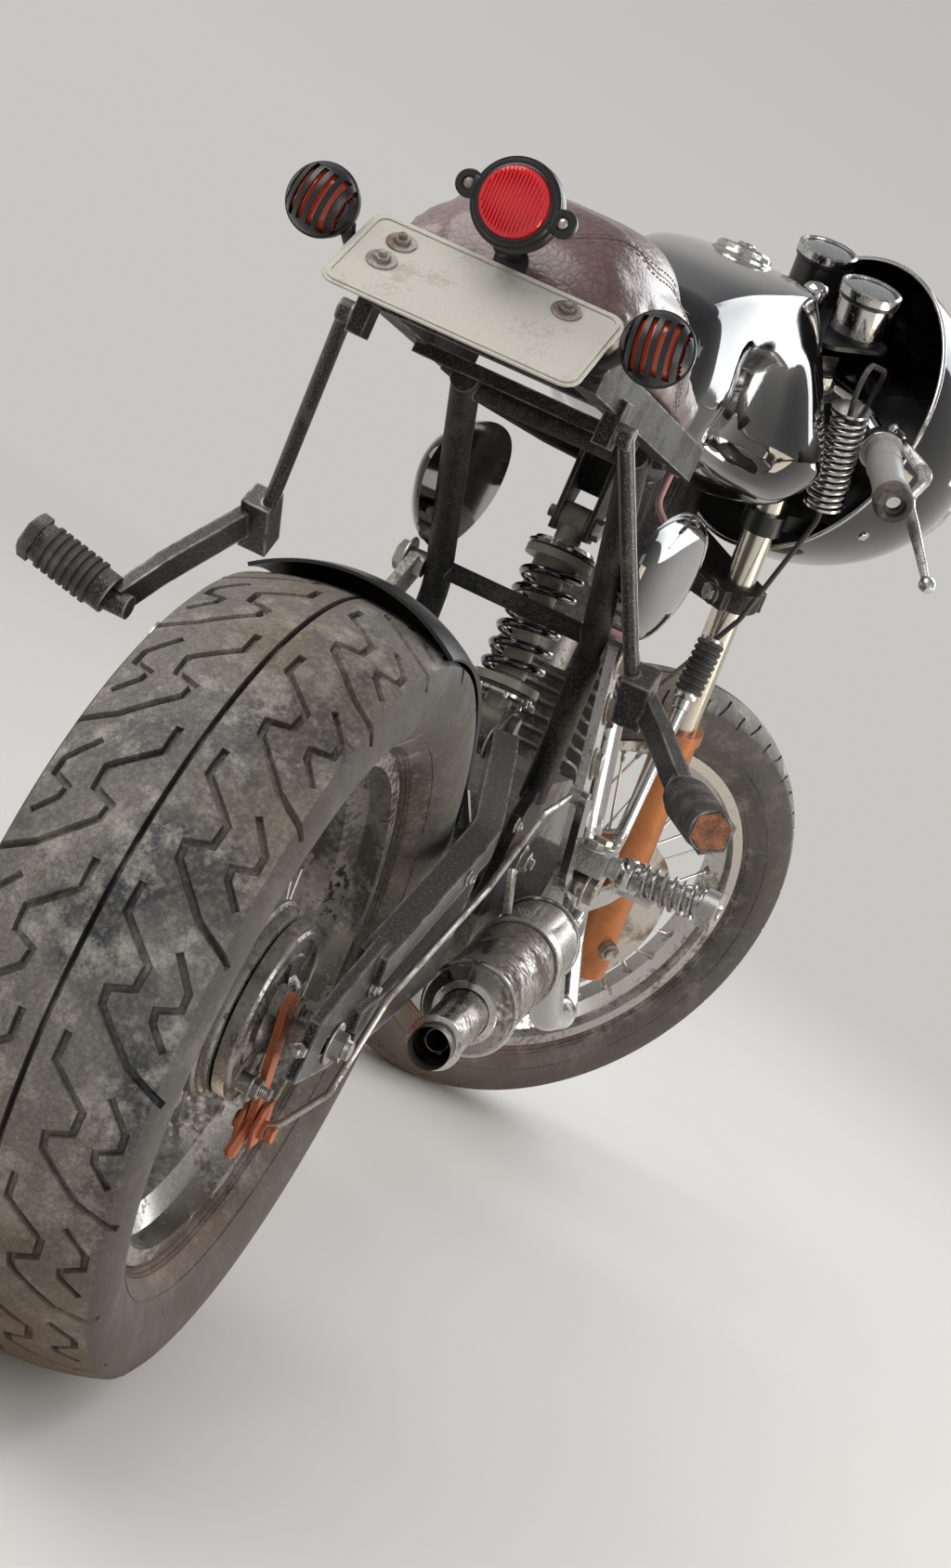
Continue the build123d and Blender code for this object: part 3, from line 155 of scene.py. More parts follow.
# %% Nodes in few words
class Nodes:
    """The nodes of one material, world or group, each made by one short call."""

    def __init__(self, tree):
        self.tree = tree
        self.texture_space = None

    def put(self, socket, value):
        """Links an output to a socket, or sets the socket to a value or colour."""
        if isinstance(value, bpy.types.NodeSocket):
            self.tree.links.new(value, socket)
        elif socket.type == "RGBA":
            socket.default_value = (*value, 1.0)
        else:
            socket.default_value = value

    def node(self, kind, settings=None, **sockets):
        """A node with its settings, and its sockets by name, with _ for a space."""
        node = set_all(self.tree.nodes.new("ShaderNode" + kind), **(settings or {}))
        for key, value in sockets.items():
            self.put(node.inputs[key.replace("_", " ")], value)
        return node

    def where(self):
        """Object coordinates in metres."""
        if self.texture_space is None:
            self.texture_space = self.node("TexCoord").outputs["Object"]
        return self.texture_space

    def facing(self):
        return self.node("NewGeometry").outputs["Normal"]

    def mixed(self, factor, first, second):
        node = self.node("Mix", {"data_type": "RGBA"})
        for socket, value in zip((node.inputs[0], node.inputs[6], node.inputs[7]), (factor, first, second)):
            self.put(socket, value)
        return node.outputs[2]

    def ranged(self, value, low, high, to_low=0.0, to_high=1.0):
        """A value stretched from one range to another, and held inside it."""
        node = self.node("MapRange", Value=value, From_Min=low, From_Max=high, To_Min=to_low, To_Max=to_high)
        return node.outputs["Result"]

    def worked(self, operation, first, second=0.0):
        node = self.node("Math", {"operation": operation})
        for socket, value in zip(node.inputs, (first, second)):
            self.put(socket, value)
        return node.outputs[0]

    def times(self, first, second):
        return self.worked("MULTIPLY", first, second)

    def noise(self, scale, detail, **more):
        sockets = {"Vector": self.where(), "Scale": scale, "Detail": detail, **more}
        return self.node("TexNoise", **sockets).outputs["Fac"]

    def cells(self, scale, feature="F1"):
        cells = self.node("TexVoronoi", {"feature": feature}, Vector=self.where(), Scale=scale)
        return cells.outputs["Distance"]

    def effect(self, group, **values):
        """A shared effect, placed with its own values."""
        return self.node("Group", {"node_tree": group}, **values).outputs

    def bumped(self, height, strength, distance):
        return self.node("Bump", Height=height, Strength=strength, Distance=distance).outputs["Normal"]

    def seen_directly(self):
        """1 for the camera's rays and for those that mirrors and glass pass on."""
        ray = self.node("LightPath").outputs
        shown = self.worked("MAXIMUM", ray["Is Camera Ray"], ray["Is Glossy Ray"])
        return self.worked("MAXIMUM", shown, ray["Is Transmission Ray"])

    def either(self, factor, first, second):
        """Two shaders, mixed."""
        both = self.node("MixShader")
        for socket, value in zip(both.inputs, (factor, first.outputs[0], second.outputs[0])):
            self.put(socket, value)
        return both

    def principled(self, **sockets):
        """Ends a material in one Principled shader."""
        self.end(self.node("BsdfPrincipled", **sockets))

    def end(self, shader, kind="Material"):
        self.put(self.node("Output" + kind).inputs["Surface"], shader.outputs[0])


def new_material(name):
    """A material without nodes, and the nodes to fill it with."""
    material = bpy.data.materials.new(name)
    material.use_nodes = True
    material.node_tree.nodes.clear()
    return material, Nodes(material.node_tree)


# %% Floor and sky
haze_colour = (0.58, 0.565, 0.54)
floor_paint, nodes = new_material("floor_paint")
tone = nodes.mixed(nodes.noise(1.3, 5.0), (0.56, 0.545, 0.52), (0.62, 0.605, 0.58))
ground = nodes.node("BsdfPrincipled", Base_Color=tone, Roughness=0.75)
away = nodes.node("VectorMath", {"operation": "LENGTH"}, Vector=nodes.where()).outputs["Value"]
far = nodes.times(nodes.ranged(away, 0.9, 3.6), nodes.seen_directly())
nodes.end(nodes.either(far, ground, nodes.node("Emission", Color=haze_colour, Strength=1.0)))

floor_mesh = bmesh.new()
bmesh.ops.create_grid(floor_mesh, x_segments=1, y_segments=1, size=60.0)
floor = in_scene("studio_floor", as_mesh(floor_mesh, "studio_floor"))
floor.data.materials.append(floor_paint)

world = bpy.data.worlds.new("studio_sky")
bpy.context.scene.world = world
world.use_nodes = True
world.node_tree.nodes.clear()
nodes = Nodes(world.node_tree)
level = nodes.node("SeparateXYZ", Vector=nodes.node("TexCoord").outputs["Generated"]).outputs["Z"]
sky = nodes.mixed(nodes.ranged(level, 0.0, 0.75), (0.48, 0.48, 0.49), (0.86, 0.88, 0.92))
haze = nodes.mixed(nodes.ranged(level, 0.02, 0.85), haze_colour, (0.26, 0.27, 0.29))
light = nodes.node("Background", Color=sky, Strength=0.62)
backdrop = nodes.node("Background", Color=haze, Strength=1.0)
nodes.end(nodes.either(nodes.seen_directly(), light, backdrop), "World")

# %% Lamps
soft_boxes = {
    # name: (place, aimed at, width, height, watts, colour)
    "key_above_left": ((-1.6, 1.9, 2.9), (-0.2, 0.0, 0.6), 3.2, 2.6, 92, (1.0, 0.97, 0.93)),
    "fill_right": ((-1.4, -2.8, 1.7), (-0.2, 0.0, 0.5), 2.4, 2.2, 40, (0.93, 0.96, 1.0)),
    "rim_front": ((2.6, -0.9, 2.3), (0.3, 0.0, 0.7), 1.8, 2.8, 62, (0.96, 0.98, 1.0)),
    "low_warm_right": ((0.4, -2.4, 0.5), (-0.3, 0.0, 0.35), 1.6, 0.7, 20, (1.0, 0.85, 0.66)),
}
for name, (at, aim, width, tall, watts, colour) in soft_boxes.items():
    lamp = in_scene(name, bpy.data.lights.new(name, "AREA"))
    set_all(lamp.data, shape="RECTANGLE", size=width, size_y=tall, energy=watts, color=colour)
    lamp.location = at
    lamp.rotation_euler = (Vector(aim) - Vector(at)).to_track_quat("-Z", "Y").to_euler()
print("lamps:", len(soft_boxes))

# %% [markdown]
# ## Effects that several finishes share
#
# Road dust, rubbed edges, casting grain and drawn scratches are on almost every surface of
# an old machine. Each is a node group that reads Object coordinates in metres and puts out
# one mask or height, so a finish only chooses how much of it there is.

# %% Dust, worn edges, grain and scratches
def new_group(name, puts_out, **given):
    """A node group with named inputs, each with its default: the group, its nodes, its inputs."""
    group = bpy.data.node_groups.new(name, "ShaderNodeTree")
    for key, default in given.items():
        socket = group.interface.new_socket(key, in_out="INPUT", socket_type="NodeSocketFloat")
        socket.default_value = default
    for key in puts_out:
        group.interface.new_socket(key, in_out="OUTPUT", socket_type="NodeSocketFloat")
    return group, Nodes(group), group.nodes.new("NodeGroupInput").outputs


def put_out(group, *values):
    """Ends a group in its named outputs."""
    end = group.nodes.new("NodeGroupOutput")
    for socket, value in zip(end.inputs, values):
        group.links.new(value, socket)
    return group


# Patches and specks: Mask for where dirt lies, Fine for its grain.
group, nodes, given = new_group("road_grime", ("Mask", "Fine"), Scale=14.0, Amount=0.5)
patches = nodes.noise(given["Scale"], 6.0, Roughness=0.62)
specks = nodes.noise(nodes.times(given["Scale"], 19.0), 3.0)
both = nodes.worked("ADD", patches, nodes.times(specks, 0.35))
edge = nodes.worked("SUBTRACT", 1.02, nodes.times(given["Amount"], 0.62))
grime = put_out(group, nodes.ranged(both, edge, nodes.worked("ADD", edge, 0.16)), specks)

# Where a rounded normal differs from the flat one, there is an edge that gets rubbed.
group, nodes, given = new_group("rubbed_edges", ("Mask",), Width=0.002, Amount=0.5)
rounded = nodes.node("Bevel", {"samples": 4}, Radius=given["Width"]).outputs["Normal"]
match = nodes.node("VectorMath", {"operation": "DOT_PRODUCT"})
nodes.put(match.inputs[0], rounded)
nodes.put(match.inputs[1], nodes.facing())
sharp = nodes.ranged(match.outputs["Value"], 0.995, 0.90)
kept = nodes.ranged(nodes.noise(60.0, 5.0), 0.36, 0.60)
edges = put_out(group, nodes.times(nodes.times(sharp, kept), given["Amount"]))

# Cast or moulded grain: Height in fine bumps over larger waves.
group, nodes, given = new_group("surface_grain", ("Height",), Scale=400.0, Waves=0.3)
waves = nodes.times(nodes.noise(nodes.times(given["Scale"], 0.06), 2.0), given["Waves"])
grain = put_out(group, nodes.worked("ADD", nodes.noise(given["Scale"], 4.0), waves))

# Fine drawn lines, with broad smears between them.
group, nodes, given = new_group("drawn_scratches", ("Lines",), Scale=60.0)
stretch = nodes.node("Mapping", Vector=nodes.where(), Scale=(1.0, 14.0, 9.0), Rotation=(0.3, 0.2, 0.5))
lines = nodes.noise(given["Scale"], 6.0, Vector=stretch.outputs[0])
scratches = put_out(group, nodes.ranged(lines, 0.38, 0.66))

# %% [markdown]
# ## Finishes
#
# Most of the machine is one of four things: bare metal under a film of dirt, paint over
# metal, moulded rubber or plastic, and glass. Each has a maker function with the values
# that change from part to part, so that a rim, a silencer and a bracket are kin but not
# alike. The shader's own sockets hold whatever is the same all over.

# %% Bare metal
def bare_metal(name, colour, roughness, dirt, dirty=0.5, scale=14.0, cast=0.0, fine=500.0):
    """Metal with dulled patches, drawn lines and dirt; cast gives it a sandy surface."""
    material, nodes = new_material(name)
    film = nodes.effect(grime, Scale=scale, Amount=dirty)["Mask"]
    lines = nodes.effect(scratches, Scale=55.0)["Lines"]
    shade = nodes.mixed(nodes.times(lines, 0.3), colour, tuple(0.55 * c for c in colour))
    rough = nodes.worked("ADD", nodes.ranged(film, 0.0, 1.0, roughness, 0.85), nodes.times(lines, 0.10))
    surface = nodes.effect(grain, Scale=fine, Waves=0.8)["Height"]
    nodes.principled(
        Base_Color=nodes.mixed(nodes.times(film, 0.85), shade, dirt), Roughness=rough,
        Metallic=nodes.ranged(film, 0.0, 1.0, 1.0, 0.15),
        Normal=nodes.bumped(surface, 0.10 + 0.6 * cast, 0.0003 + 0.0008 * cast),
    )
    return material


# %% Paint over metal
def paint(
    name, colour, roughness, coat=0.0, bare=(0.42, 0.41, 0.39), worn=0.5, dust=(0.21, 0.185, 0.155),
    dusty=0.35, scale=16.0, metallic=0.0, edge=0.0016, specks=0.0, lying=0.35, gloss=0.5,
):
    """Paint rubbed to bare metal on its edges, chipped in specks, with dust where it settles."""
    material, nodes = new_material(name)
    film = nodes.effect(grime, Scale=scale, Amount=dusty)
    rubbed = nodes.effect(edges, Width=edge, Amount=worn)["Mask"]
    looks_up = nodes.node("SeparateXYZ", Vector=nodes.facing()).outputs["Z"]
    level = nodes.times(nodes.ranged(looks_up, 0.25, 0.95), lying)
    dust_part = nodes.worked("MAXIMUM", nodes.times(film["Mask"], 0.42), nodes.times(level, film["Fine"]))
    chips = nodes.noise(900.0, 3.0, Roughness=0.7)
    bared = nodes.worked("MAXIMUM", rubbed, nodes.times(nodes.ranged(chips, 0.56, 0.68), specks))
    surface = nodes.effect(grain, Scale=260.0, Waves=1.0)["Height"]
    nodes.principled(
        Base_Color=nodes.mixed(bared, nodes.mixed(dust_part, colour, dust), bare),
        Roughness=nodes.ranged(dust_part, 0.0, 0.5, roughness, min(0.9, roughness + 0.4)),
        Metallic=nodes.ranged(bared, 0.0, 1.0, metallic, 0.8),
        Normal=nodes.bumped(surface, 0.06 + 0.7 * specks, 0.0006),
        Specular_IOR_Level=gloss, Coat_Weight=coat, Coat_Roughness=0.04,
    )
    return material


# %% Rubber, plastic and leather
def moulded(name, colour, roughness, dust=(0.27, 0.23, 0.18), dusty=0.5, scale=12.0, grainy=0.25):
    """Rubber or plastic with a moulded grain and dust that sits in patches."""
    material, nodes = new_material(name)
    film = nodes.effect(grime, Scale=scale, Amount=dusty)["Mask"]
    surface = nodes.effect(grain, Scale=700.0, Waves=0.5)["Height"]
    nodes.principled(
        Base_Color=nodes.mixed(nodes.times(film, 0.55), colour, dust),
        Roughness=nodes.ranged(film, 0.0, 1.0, roughness, 0.88), Normal=nodes.bumped(surface, grainy, 0.0006),
    )
    return material


def tread_rubber(name, board, scale):
    """Worn tyre rubber: pale road dust over dark patches, browner towards the walls."""
    material, nodes = new_material(name)
    fine = nodes.noise(scale * 26, 4.0)
    patch = nodes.ranged(nodes.noise(scale * 0.6, 8.0, Roughness=0.70, Distortion=0.5), 0.43, 0.57)
    low_down = nodes.node("SeparateXYZ", Vector=nodes.where()).outputs["Z"]
    sideways = nodes.node("VectorMath", {"operation": "DOT_PRODUCT"}, Vector=nodes.facing())
    sideways.inputs[1].default_value = (board.to_3x3() @ Vector((0, 1, 0))).normalized()
    sideways = nodes.worked("ABSOLUTE", sideways.outputs["Value"])
    crease = nodes.ranged(nodes.cells(210.0, "DISTANCE_TO_EDGE"), 0.0, 0.09, 1.0, 0.0)
    tone = nodes.mixed(patch, (0.022, 0.025, 0.031), (0.150, 0.138, 0.118))
    layers = (
        # where, how much, colour: smudges, brown drift, specks, mud low down, walls, cracks
        (nodes.ranged(nodes.noise(scale * 2.6, 7.0, Roughness=0.78), 0.50, 0.63), 0.80, (0.36, 0.335, 0.29)),
        (nodes.ranged(nodes.noise(scale * 0.45, 4.0, Roughness=0.6), 0.48, 0.62), 0.55, (0.120, 0.076, 0.042)),
        (nodes.ranged(fine, 0.45, 0.75), 0.30, (0.34, 0.31, 0.25)),
        (nodes.ranged(low_down, 0.30, 0.02), 0.66, (0.150, 0.072, 0.028)),
        (nodes.ranged(sideways, 0.62, 0.88), 0.72, (0.036, 0.032, 0.029)),
        (crease, 0.35, (0.020, 0.018, 0.016)),
    )
    for mask, share, colour in layers:
        tone = nodes.mixed(nodes.times(mask, share), tone, colour)
    height = nodes.worked("SUBTRACT", fine, nodes.times(crease, 0.5))
    nodes.principled(
        Base_Color=tone, Roughness=nodes.ranged(patch, 0.0, 1.0, 0.50, 0.78),
        Normal=nodes.bumped(height, 0.35, 0.0009),
    )
    return material


def leather(name, colour, crest):
    """Glossy hide: pebbled grain, darker pores and paler, rubbed high patches."""
    material, nodes = new_material(name)
    creases = nodes.cells(150.0, "DISTANCE_TO_EDGE")
    rubbed = nodes.ranged(nodes.noise(9.0, 6.0), 0.42, 0.68)
    in_crease = nodes.ranged(creases, 0.0, 0.10, 0.45, 0.0)
    pebbles = nodes.worked("SUBTRACT", nodes.ranged(creases, 0.0, 0.25), nodes.times(nodes.cells(330.0), 0.5))
    nodes.principled(
        Base_Color=nodes.mixed(in_crease, nodes.mixed(rubbed, colour, crest), (0.010, 0.006, 0.006)),
        Roughness=nodes.ranged(rubbed, 0.0, 1.0, 0.30, 0.42), Normal=nodes.bumped(pebbles, 0.28, 0.0007),
        Coat_Weight=0.35, Coat_Roughness=0.22,
    )
    return material


# %% Lamp glass and the clocks' faces
def tinted_glass(name, colour, roughness, painted_glow, see_through):
    """Moulded lens material: tinted, half clear, with a faint painted glow of its own colour all over."""
    material, nodes = new_material(name)
    surface = nodes.effect(grain, Scale=300.0, Waves=0.5)["Height"]
    film = nodes.times(nodes.effect(grime, Scale=20.0, Amount=0.3)["Mask"], 0.3)
    # The emission is painted light: an even glow in the lens's colour that stands in for light caught in the tinted
    # plastic.
    nodes.principled(
        Base_Color=nodes.mixed(film, colour, tuple(0.4 * c for c in colour)), Roughness=roughness,
        Normal=nodes.bumped(surface, 0.05, 0.0004), Transmission_Weight=see_through, Coat_Weight=0.6,
        Emission_Color=colour, Emission_Strength=painted_glow,
    )
    return material


def printed(name, first, second, scale, roughness):
    """Faded print on a dial."""
    material, nodes = new_material(name)
    nodes.principled(Base_Color=nodes.mixed(nodes.noise(scale, 3.0), first, second), Roughness=roughness)
    return material


# %% All finishes
rust_dirt = (0.13, 0.075, 0.04)
made_by = {
    bare_metal: {
        # colour, roughness, dirt, how dirty, its scale, how sandy, the sand's scale
        "rim_polish": ((0.46, 0.44, 0.41), 0.17, (0.050, 0.034, 0.022), 0.60, 9.0),
        "spoke_wire": ((0.66, 0.64, 0.60), 0.28, rust_dirt, 0.40, 30.0),
        "cast_hub": ((0.40, 0.38, 0.35), 0.26, (0.055, 0.040, 0.026), 0.64, 16.0, 0.25),
        "zinc_steel": ((0.44, 0.42, 0.39), 0.34, rust_dirt, 0.58, 35.0),
        "oiled_steel": ((0.20, 0.18, 0.16), 0.38, (0.07, 0.05, 0.03), 0.7, 40.0),
        "cast_engine": ((0.27, 0.262, 0.25), 0.42, (0.06, 0.048, 0.035), 0.68, 12.0, 0.8, 380.0),
        "chrome": ((0.56, 0.55, 0.53), 0.11, (0.10, 0.065, 0.04), 0.50, 18.0),
        "silencer_steel": ((0.31, 0.285, 0.25), 0.19, (0.060, 0.036, 0.018), 0.62, 9.0),
        "lever_alloy": ((0.62, 0.61, 0.59), 0.26, (0.05, 0.045, 0.04), 0.55, 26.0),
        "satin_alloy": ((0.50, 0.49, 0.47), 0.36, (0.12, 0.09, 0.065), 0.62, 20.0, 0.25),
        "ground_tube": ((0.66, 0.62, 0.53), 0.17, (0.20, 0.15, 0.10), 0.42, 20.0),
        "worn_copper": ((0.36, 0.16, 0.09), 0.48, (0.085, 0.038, 0.022), 0.6, 34.0, 0.2),
    },
    moulded: {
        # colour, roughness, dust, how dusty, its scale, how grainy
        "grip_rubber": ((0.030, 0.029, 0.029), 0.60, (0.27, 0.23, 0.18), 0.55),
        "black_plastic": ((0.009, 0.009, 0.010), 0.32, (0.27, 0.23, 0.18), 0.30),
        "peg_rubber": ((0.045, 0.042, 0.040), 0.62, (0.25, 0.21, 0.17), 0.62, 30.0),
        "sleeve_grey": ((0.33, 0.32, 0.31), 0.40, (0.15, 0.12, 0.09), 0.5, 25.0),
        "fuel_rubber": ((0.52, 0.27, 0.25), 0.45, (0.30, 0.18, 0.14), 0.5, 25.0, 0.1),
        "thread": ((0.16, 0.12, 0.105), 0.7, (0.27, 0.23, 0.18), 0.3, 60.0),
    },
    tread_rubber: {"rear_rubber": (upright, 9.0), "front_rubber": (steered, 11.0)},
    leather: {"seat_hide": ((0.105, 0.056, 0.053), (0.285, 0.205, 0.198))},
    tinted_glass: {
        # colour, roughness, painted glow, how clear
        "red_lens": ((0.66, 0.010, 0.018), 0.14, 0.10, 0.25),
        "amber_lens": ((0.52, 0.060, 0.022), 0.18, 0.10, 0.2),
        "clear_lens": ((0.86, 0.88, 0.88), 0.06, 0.0, 0.9),
    },
    printed: {
        "dial_face": ((0.010, 0.014, 0.024), (0.030, 0.036, 0.050), 60.0, 0.4),
        "dial_ink": ((0.60, 0.62, 0.60), (0.78, 0.80, 0.78), 90.0, 0.5),
    },
}
finishes = {name: maker(name, *values) for maker, rows in made_by.items() for name, values in rows.items()}
paints = {
    "frame_black": dict(
        colour=(0.0065, 0.0065, 0.007), roughness=0.50, worn=0.9, dust=(0.11, 0.095, 0.08), dusty=0.58,
        edge=0.0024, lying=0.30, specks=0.35, gloss=0.22,
    ),
    "rubbed_black": dict(
        colour=(0.010, 0.010, 0.011), roughness=0.36, coat=0.1, bare=(0.50, 0.49, 0.47), worn=1.0, dusty=0.42,
        scale=24.0, edge=0.004, specks=0.75, lying=0.60, gloss=0.32,
    ),
    "spring_enamel": dict(
        colour=(0.006, 0.006, 0.007), roughness=0.12, coat=1.0, worn=0.10, dusty=0.22, lying=0.15,
    ),
    "damper_enamel": dict(
        colour=(0.27, 0.25, 0.20), roughness=0.38, coat=0.2, worn=0.4, dust=(0.09, 0.075, 0.055), dusty=0.5,
    ),
    "copper_paint": dict(
        colour=(0.44, 0.150, 0.042), roughness=0.34, coat=0.3, bare=(0.60, 0.42, 0.25),
        dust=(0.16, 0.07, 0.03), dusty=0.55, scale=20.0, metallic=0.55,
    ),
    "orange_paint": dict(
        colour=(0.44, 0.115, 0.045), roughness=0.50, bare=(0.55, 0.35, 0.22), worn=0.7,
        dust=(0.17, 0.07, 0.035), dusty=0.6, scale=40.0, metallic=0.25,
    ),
    "gloss_black": dict(
        colour=(0.0040, 0.0042, 0.0050), roughness=0.05, coat=0.75, worn=0.25, dusty=0.22, scale=9.0,
        lying=0.10, gloss=0.35,
    ),
    "plate_enamel": dict(
        colour=(0.50, 0.48, 0.42), roughness=0.42, coat=0.2, bare=(0.62, 0.58, 0.48), worn=0.7,
        dust=(0.17, 0.145, 0.11), dusty=0.55, scale=22.0,
    ),
}
finishes.update({name: paint(name, **values) for name, values in paints.items()})
print("finishes:", len(finishes))

# %% [markdown]
# ## Dressing the solids
#
# A solid whose shape is right only needs its finish. The list names every node that is
# still shown, and a node that is modelled again further on drops out by itself.

# %% Finish each solid
nodes_of_finish = {
    "rear_rubber": "rear_tyre",
    "front_rubber": "front_tyre",
    "rim_polish": "rear_rim front_rim",
    "spoke_wire": "rear_spokes front_spokes",
    "cast_hub": "rear_hub front_hub rear_brake_plate",
    "zinc_steel": "rear_axle front_axle pivot_bolts front_disc rear_sprocket front_sprocket",
    "orange_paint": "brake_linkage",
    "oiled_steel": "drive_chain",
    "frame_black": "main_frame seat_subframe side_stand triple_clamps",
    "rubbed_black": "swingarm pillion_footrests",
    "spring_enamel": "shock_spring",
    "damper_enamel": "shock_absorber",
    "cast_engine": "engine_crankcase engine_cylinder carburettor",
    "chrome": "exhaust_header handlebars fuel_tank_cap hose_spring_guard foot_levers",
    "silencer_steel": "silencer",
    "copper_paint": "fork_lowers",
    "ground_tube": "fork_tubes",
    "satin_alloy": "rearset_brackets rider_pegs brake_caliper",
    "gloss_black": "fuel_tank side_covers headlamp_cowl",
    "seat_hide": "seat",
    "black_plastic": (
        "rear_hugger plate_bracket tail_light_housing rear_signals gauges headlamp_bucket hand_levers"
    ),
    "plate_enamel": "number_plate",
    "amber_lens": "rear_lenses",
    "clear_lens": "headlamp_lens",
    "grip_rubber": "grips brake_hose",
    "fuel_rubber": "fuel_hose",
}
dressed = [(finish, name) for finish, names in nodes_of_finish.items() for name in names.split()]
for finish, name in dressed:
    mesh = frame["nodes"][name].data
    mesh.materials.clear()
    mesh.materials.append(finishes[finish])
linkage = frame["nodes"]["brake_linkage"].data
linkage.materials.append(finishes["zinc_steel"])
for face in linkage.polygons:
    middle = to_board @ face.center
    face.material_index = 1 if middle.y < -93 or middle.x > 60 else 0
print("dressed:", len(dressed), "of", len(frame["nodes"]))

# %% [markdown]
# ## A small kit of shapes
#
# Nearly every fastener and fitting is a turned shape, a bar, a flat plate with a thickness,
# or a coil. Each helper adds one to an open bmesh by an operator, in upright millimetres,
# and one last helper closes the bmesh as a finished piece that rides on its body.

# %% Directions and places
def on_axis(start, way):
    """A matrix whose z runs along way from start."""
    turn = Vector(way).normalized().to_track_quat("Z", "Y").to_matrix().to_4x4()
    return Matrix.Translation(Vector(start)) @ turn


def wheel_spot(radius, degrees, left=0.0):
    """A point of a wheel, from its centre."""
    return Vector((radius * cos(radians(degrees)), left, radius * sin(radians(degrees))))


def face_spot(start, way, radius, degrees):
    """A point of a round face that looks along way."""
    return on_axis(start, way) @ Vector((radius * cos(radians(degrees)), radius * sin(radians(degrees)), 0))


def between(x, table):
    """A smooth value from a table of (x, value)."""
    if x <= table[0][0]:
        return table[0][1]
    for (x0, v0), (x1, v1) in zip(table, table[1:]):
        if x <= x1:
            return v0 + (v1 - v0) * eased(x, x0, x1)
    return table[-1][1]


def eased(value, low, high):
    """0 to 1 from low to high, level at both."""
    share = min(1.0, max(0.0, (value - low) / (high - low)))
    return share * share * (3 - 2 * share)


# %% Turned shapes, bars and coils
def verts_of(geometry):
    return [item for item in geometry if isinstance(item, bmesh.types.BMVert)]


def edges_of(verts):
    return list({edge for vert in verts for edge in vert.link_edges})


def settle(bm, before, matrix, material):
    """Paints, turns outwards and places what a bmesh has gained."""
    made = [v for v in bm.verts if v not in before]
    faces = list({face for vert in made for face in vert.link_faces})
    for face in faces:
        face.material_index = material
    bmesh.ops.recalc_face_normals(bm, faces=faces)
    bmesh.ops.transform(bm, matrix=matrix, verts=made)


def spin_line(bm, points, axis, steps):
    """Spins a line of points a full turn round an axis."""
    verts = [bm.verts.new(point) for point in points]
    lines = [bm.edges.new(pair) for pair in zip(verts, verts[1:])]
    bmesh.ops.spin(
        bm, geom=verts + lines, cent=(0, 0, 0), axis=axis, angle=2 * pi, steps=steps, use_merge=True,
    )


def turned(bm, outline, start, way, steps=32, material=0):
    """Spins an outline of (radius, distance along way) round way."""
    before = set(bm.verts)
    spin_line(bm, [(radius, 0, along) for radius, along in outline], (0, 0, 1), steps)
    bmesh.ops.remove_doubles(bm, verts=[v for v in bm.verts if v not in before], dist=0.001)
    settle(bm, before, on_axis(start, way), material)


def rod(bm, start, end, radius, steps=20, material=0, chamfer=0.8):
    """A round bar with chamfered ends."""
    way = Vector(end) - Vector(start)
    long = way.length
    cut = min(chamfer, radius * 0.4, long * 0.3)
    outline = [(0, 0), (radius - cut, 0), (radius, cut), (radius, long - cut), (radius - cut, long), (0, long)]
    turned(bm, outline, start, way, steps, material)


def washer(bm, at, way, radius, bore, thick, steps=24, material=0):
    """A flat ring with its edges broken."""
    cut = thick * 0.25
    outline = [(bore, 0), (radius - cut, 0), (radius, cut), (radius, thick - cut), (radius - cut, thick)]
    turned(bm, outline + [(bore, thick), (bore, 0)], at, way, steps, material)


def broken_edges(bm, edges, offset, segments):
    bmesh.ops.bevel(
        bm, geom=edges, offset=offset, affect="EDGES", segments=segments, profile=0.5, material=-1,
    )


def hexagon(bm, at, way, radius, height, material=0):
    """A six-sided head or nut, its corners chamfered, standing on at."""
    before = set(bm.verts)
    made = bmesh.ops.create_cone(bm, cap_ends=True, segments=6, radius1=radius, radius2=radius, depth=height)["verts"]
    bmesh.ops.translate(bm, vec=(0, 0, height / 2), verts=made)
    rims = [e for e in edges_of(made) if all(v.co.z > height * 0.9 for v in e.verts)]
    broken_edges(bm, rims, height * 0.16, 1)
    settle(bm, before, on_axis(at, way), material)


def bolt(bm, at, way, size, stub=0.0, material=0):
    """A washer and a hexagon head; with a stub, the thread that stands out of a nut."""
    at = Vector(at)
    way = Vector(way).normalized()
    washer(bm, at, way, size * 1.9, size * 0.5, size * 0.28, 20, material)
    hexagon(bm, at + way * size * 0.28, way, size * 1.35, size * 0.85, material)
    if stub:
        threads = max(2, int(stub / 1.4))
        outline = [(0, 0)]
        for thread in range(threads):
            crest = (thread + 0.5) * stub / threads
            outline += [(size * 0.62, thread * stub / threads), (size * 0.72, crest)]
        outline += [(size * 0.55, stub), (0, stub)]
        turned(bm, outline, at + way * size * 1.1, way, 16, material)


def bar(bm, start, end, width, tall, across=(0, 1, 0), chamfer=1.0, material=0):
    """A square bar with broken edges, its width along across."""
    before = set(bm.verts)
    way = Vector(end) - Vector(start)
    z_way = way.normalized()
    x_way = (Vector(across) - z_way * z_way.dot(Vector(across))).normalized()
    turn = Matrix((x_way, z_way.cross(x_way), z_way)).transposed().to_4x4()
    made = bmesh.ops.create_cube(bm, size=1.0)["verts"]
    bmesh.ops.scale(bm, vec=(width, tall, way.length), verts=made)
    broken_edges(bm, edges_of(made), chamfer, 2)
    settle(bm, before, Matrix.Translation(Vector(start) + way / 2) @ turn, material)


